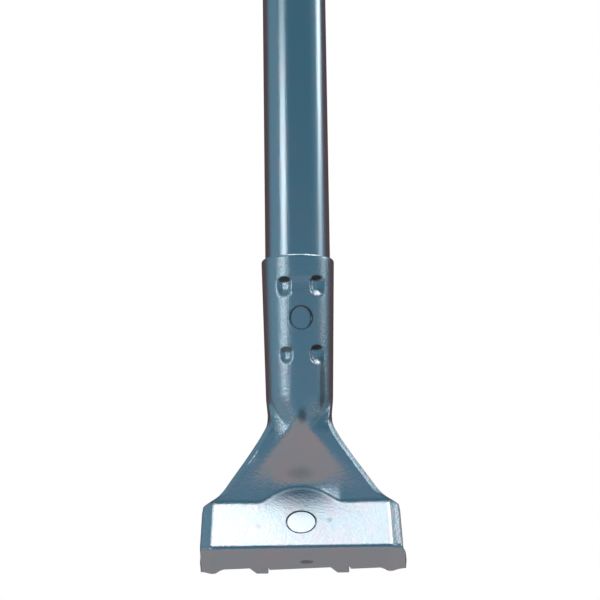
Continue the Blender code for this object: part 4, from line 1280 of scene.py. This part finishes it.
@dataclass
class Studio:
    """A plain pale floor, a soft even studio and the camera."""

    sizes: ScraperSizes
    distance: float = 0.6826
    aim_above_valley: float = 0.09692
    aim_right: float = 0.00088
    tilt: float = math.radians(10.0)
    roll: float = math.radians(0.81)
    lens: float = 83.94
    floor_drop: float = 0.22
    floor_size: float = 1.7
    floor_colour: Shade = (0.68, 0.53, 0.49)

    def camera(self) -> None:
        """Place the camera in front of the head and a little below its socket."""
        deselect_all()
        bpy.ops.object.camera_add()
        camera = bpy.context.object
        camera.name = "camera"
        camera.data.lens = self.lens
        camera.data.sensor_width = 36.0
        target = Vector((self.aim_right, 0, self.sizes.valley + self.aim_above_valley))
        back = Vector((0, -math.cos(self.tilt), -math.sin(self.tilt)))
        camera.location = target + back * self.distance
        facing = (-back).to_track_quat("-Z", "Y").to_matrix().to_4x4()
        camera.matrix_world = (Matrix.Translation(camera.location) @ facing
                               @ Matrix.Rotation(-self.roll, 4, "Z"))
        bpy.context.scene.camera = camera

    def floor(self) -> None:
        """A plain pale floor well below the hanging tool."""
        deselect_all()
        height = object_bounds()[0][2] - self.floor_drop
        bpy.ops.mesh.primitive_plane_add(size=self.floor_size, location=(0, 0, height))
        floor = name_piece("floor")
        place(floor, Matrix.Identity(4))
        paint = Finish("pale_floor")
        material, graph, shader = paint.start()
        paint.connect(graph, shader, base_color=(*self.floor_colour, 1.0), roughness=0.9)
        floor.data.materials.append(material)
        floor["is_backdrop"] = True

    def surroundings(self) -> None:
        """Light from all round: a bright ceiling, bluish walls and two tall strip lights."""
        world = bpy.data.worlds.new("studio")
        bpy.context.scene.world = world
        world.use_nodes = True
        graph = Graph(world.node_tree)
        world.node_tree.nodes.clear()
        direction = graph.node("ShaderNodeTexCoord").outputs["Generated"]
        parts = graph.node("ShaderNodeSeparateXYZ", {"Vector": direction})
        across, along, up = (Signal(graph, parts.outputs[name]) for name in "XYZ")
        height = up.maths("ARCSINE") * (180 / math.pi)
        turn = across.maths("ARCTAN2", along * -1.0) * (180 / math.pi)
        # The walls: bluish in front, lighter at the sides, brownish behind.
        behind = turn.maths("ABSOLUTE").ease(100.0, 125.0) * (1.0 - height.ease(20.0, 36.0))
        walls = graph.mix(height.ease(2.0, 20.0), (0.112, 0.205, 0.272, 1.0), (0.055, 0.142, 0.192, 1.0))
        aside = turn.ease(52.0, 80.0) * 0.45 + (1.0 - turn.ease(-72.0, -58.0)) * 0.75
        walls = graph.mix(aside, walls, (0.150, 0.270, 0.330, 1.0))
        walls = graph.mix(behind, walls, (0.095, 0.063, 0.066, 1.0))
        shade = turn.peak(84.0, 10.0, 8.0) * (1.0 - height.ease(4.0, 7.0)) * height.ease(-12.0, -4.0)
        walls = graph.mix(shade, walls, (0.026, 0.074, 0.088, 1.0))
        # The ceiling, dimmer to the right of the middle and lower at the far right.
        dim = across.ease(-0.005, 0.045) * (1.0 - across.ease(0.12, 0.30))
        overhead = graph.mix(dim, (1.75, 1.75, 1.73, 1.0), (0.66, 0.77, 0.83, 1.0))
        lowered = height + across.ease(0.2, 0.5) * 15.0
        light = graph.mix(lowered.ease(58.0, 76.0), walls, overhead)
        # The two leaning strip lights.
        left_power = height.peak(15.5, 1.5, 3.0) * 0.62 + height.peak(7.4, 2.0, 1.6) * 0.60 + 0.14
        left = (turn - height * 0.45).peak(-55.0, 8.0, 5.0) * left_power * height.ease(1.0, 5.0)
        right_power = height.ease(13.0, 20.0) * 0.60 + 0.20
        right = (turn - height * 0.95).peak(78.0, 4.0, 10.0) * right_power * height.ease(4.5, 7.5)
        strips = (left + right) * (1.0 - height.ease(30.0, 40.0))
        light = graph.mix(strips.maths("MINIMUM", 1.0), light, (1.85, 2.05, 2.10, 1.0))
        seen = graph.node("ShaderNodeLightPath").outputs["Is Camera Ray"]
        shown = graph.mix(seen, light, (1.0, 1.0, 1.0, 1.0))
        glow = graph.node("ShaderNodeBackground", {"Color": shown, "Strength": 1.0})
        graph.node("ShaderNodeOutputWorld", {"Surface": glow.outputs[0]})

    def build(self) -> None:
        """Set up camera, floor and surroundings."""
        self.camera()
        self.floor()
        self.surroundings()
        bpy.context.scene.view_settings.view_transform = "Standard"


def main() -> None:
    """Build every piece around the frame."""
    logging.basicConfig(level=logging.INFO, format="%(message)s")
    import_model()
    sizes = ScraperSizes()
    head = PressedHead(sizes)
    # The sheet's finish carries the head's painted shade marks.
    zinc_sheet = ZincPlate("zinc_sheet", shade_marks=head.shade_marks()).build()
    zinc_tube = ZincPlate("zinc_tube", grain=0.20, scuffs=0.15, relief=0.00012, drawn=True).build()
    zinc_fastener = ZincPlate("zinc_fastener", roughness=0.22, grain=0.10, scuffs=0.3,
                              relief=0.00012).build()
    spring = PlainSteel("spring_steel", (0.30, 0.31, 0.33), 0.36, (1.0, 1.0, 1.0), 0.6).build()
    ground = PlainSteel("blade_steel").build()
    vinyl = SoftVinyl("soft_vinyl").build()
    plastic = SoftVinyl("moulded_plastic", (0.024, 0.025, 0.028), (0.06, 0.062, 0.068), 0.40, 2600.0,
                        0.00003).build()
    Studio(sizes).build()
    handle = Handle(sizes, head)
    clamp = BladeClamp(sizes)
    pieces = [head.build(zinc_sheet), handle.tube(zinc_tube), handle.grip(vinyl), handle.plug(plastic),
              clamp.backing(zinc_sheet), clamp.bolt(zinc_fastener), clamp.blade(ground),
              clamp.clamp_plate(zinc_sheet), clamp.washer(zinc_fastener), clamp.lock_washer(spring),
              clamp.wing_nut(zinc_fastener)]
    for piece in pieces:
        LOG.info("%s: %d faces", piece.name, len(piece.data.polygons))


if __name__ == "__main__":
    main()
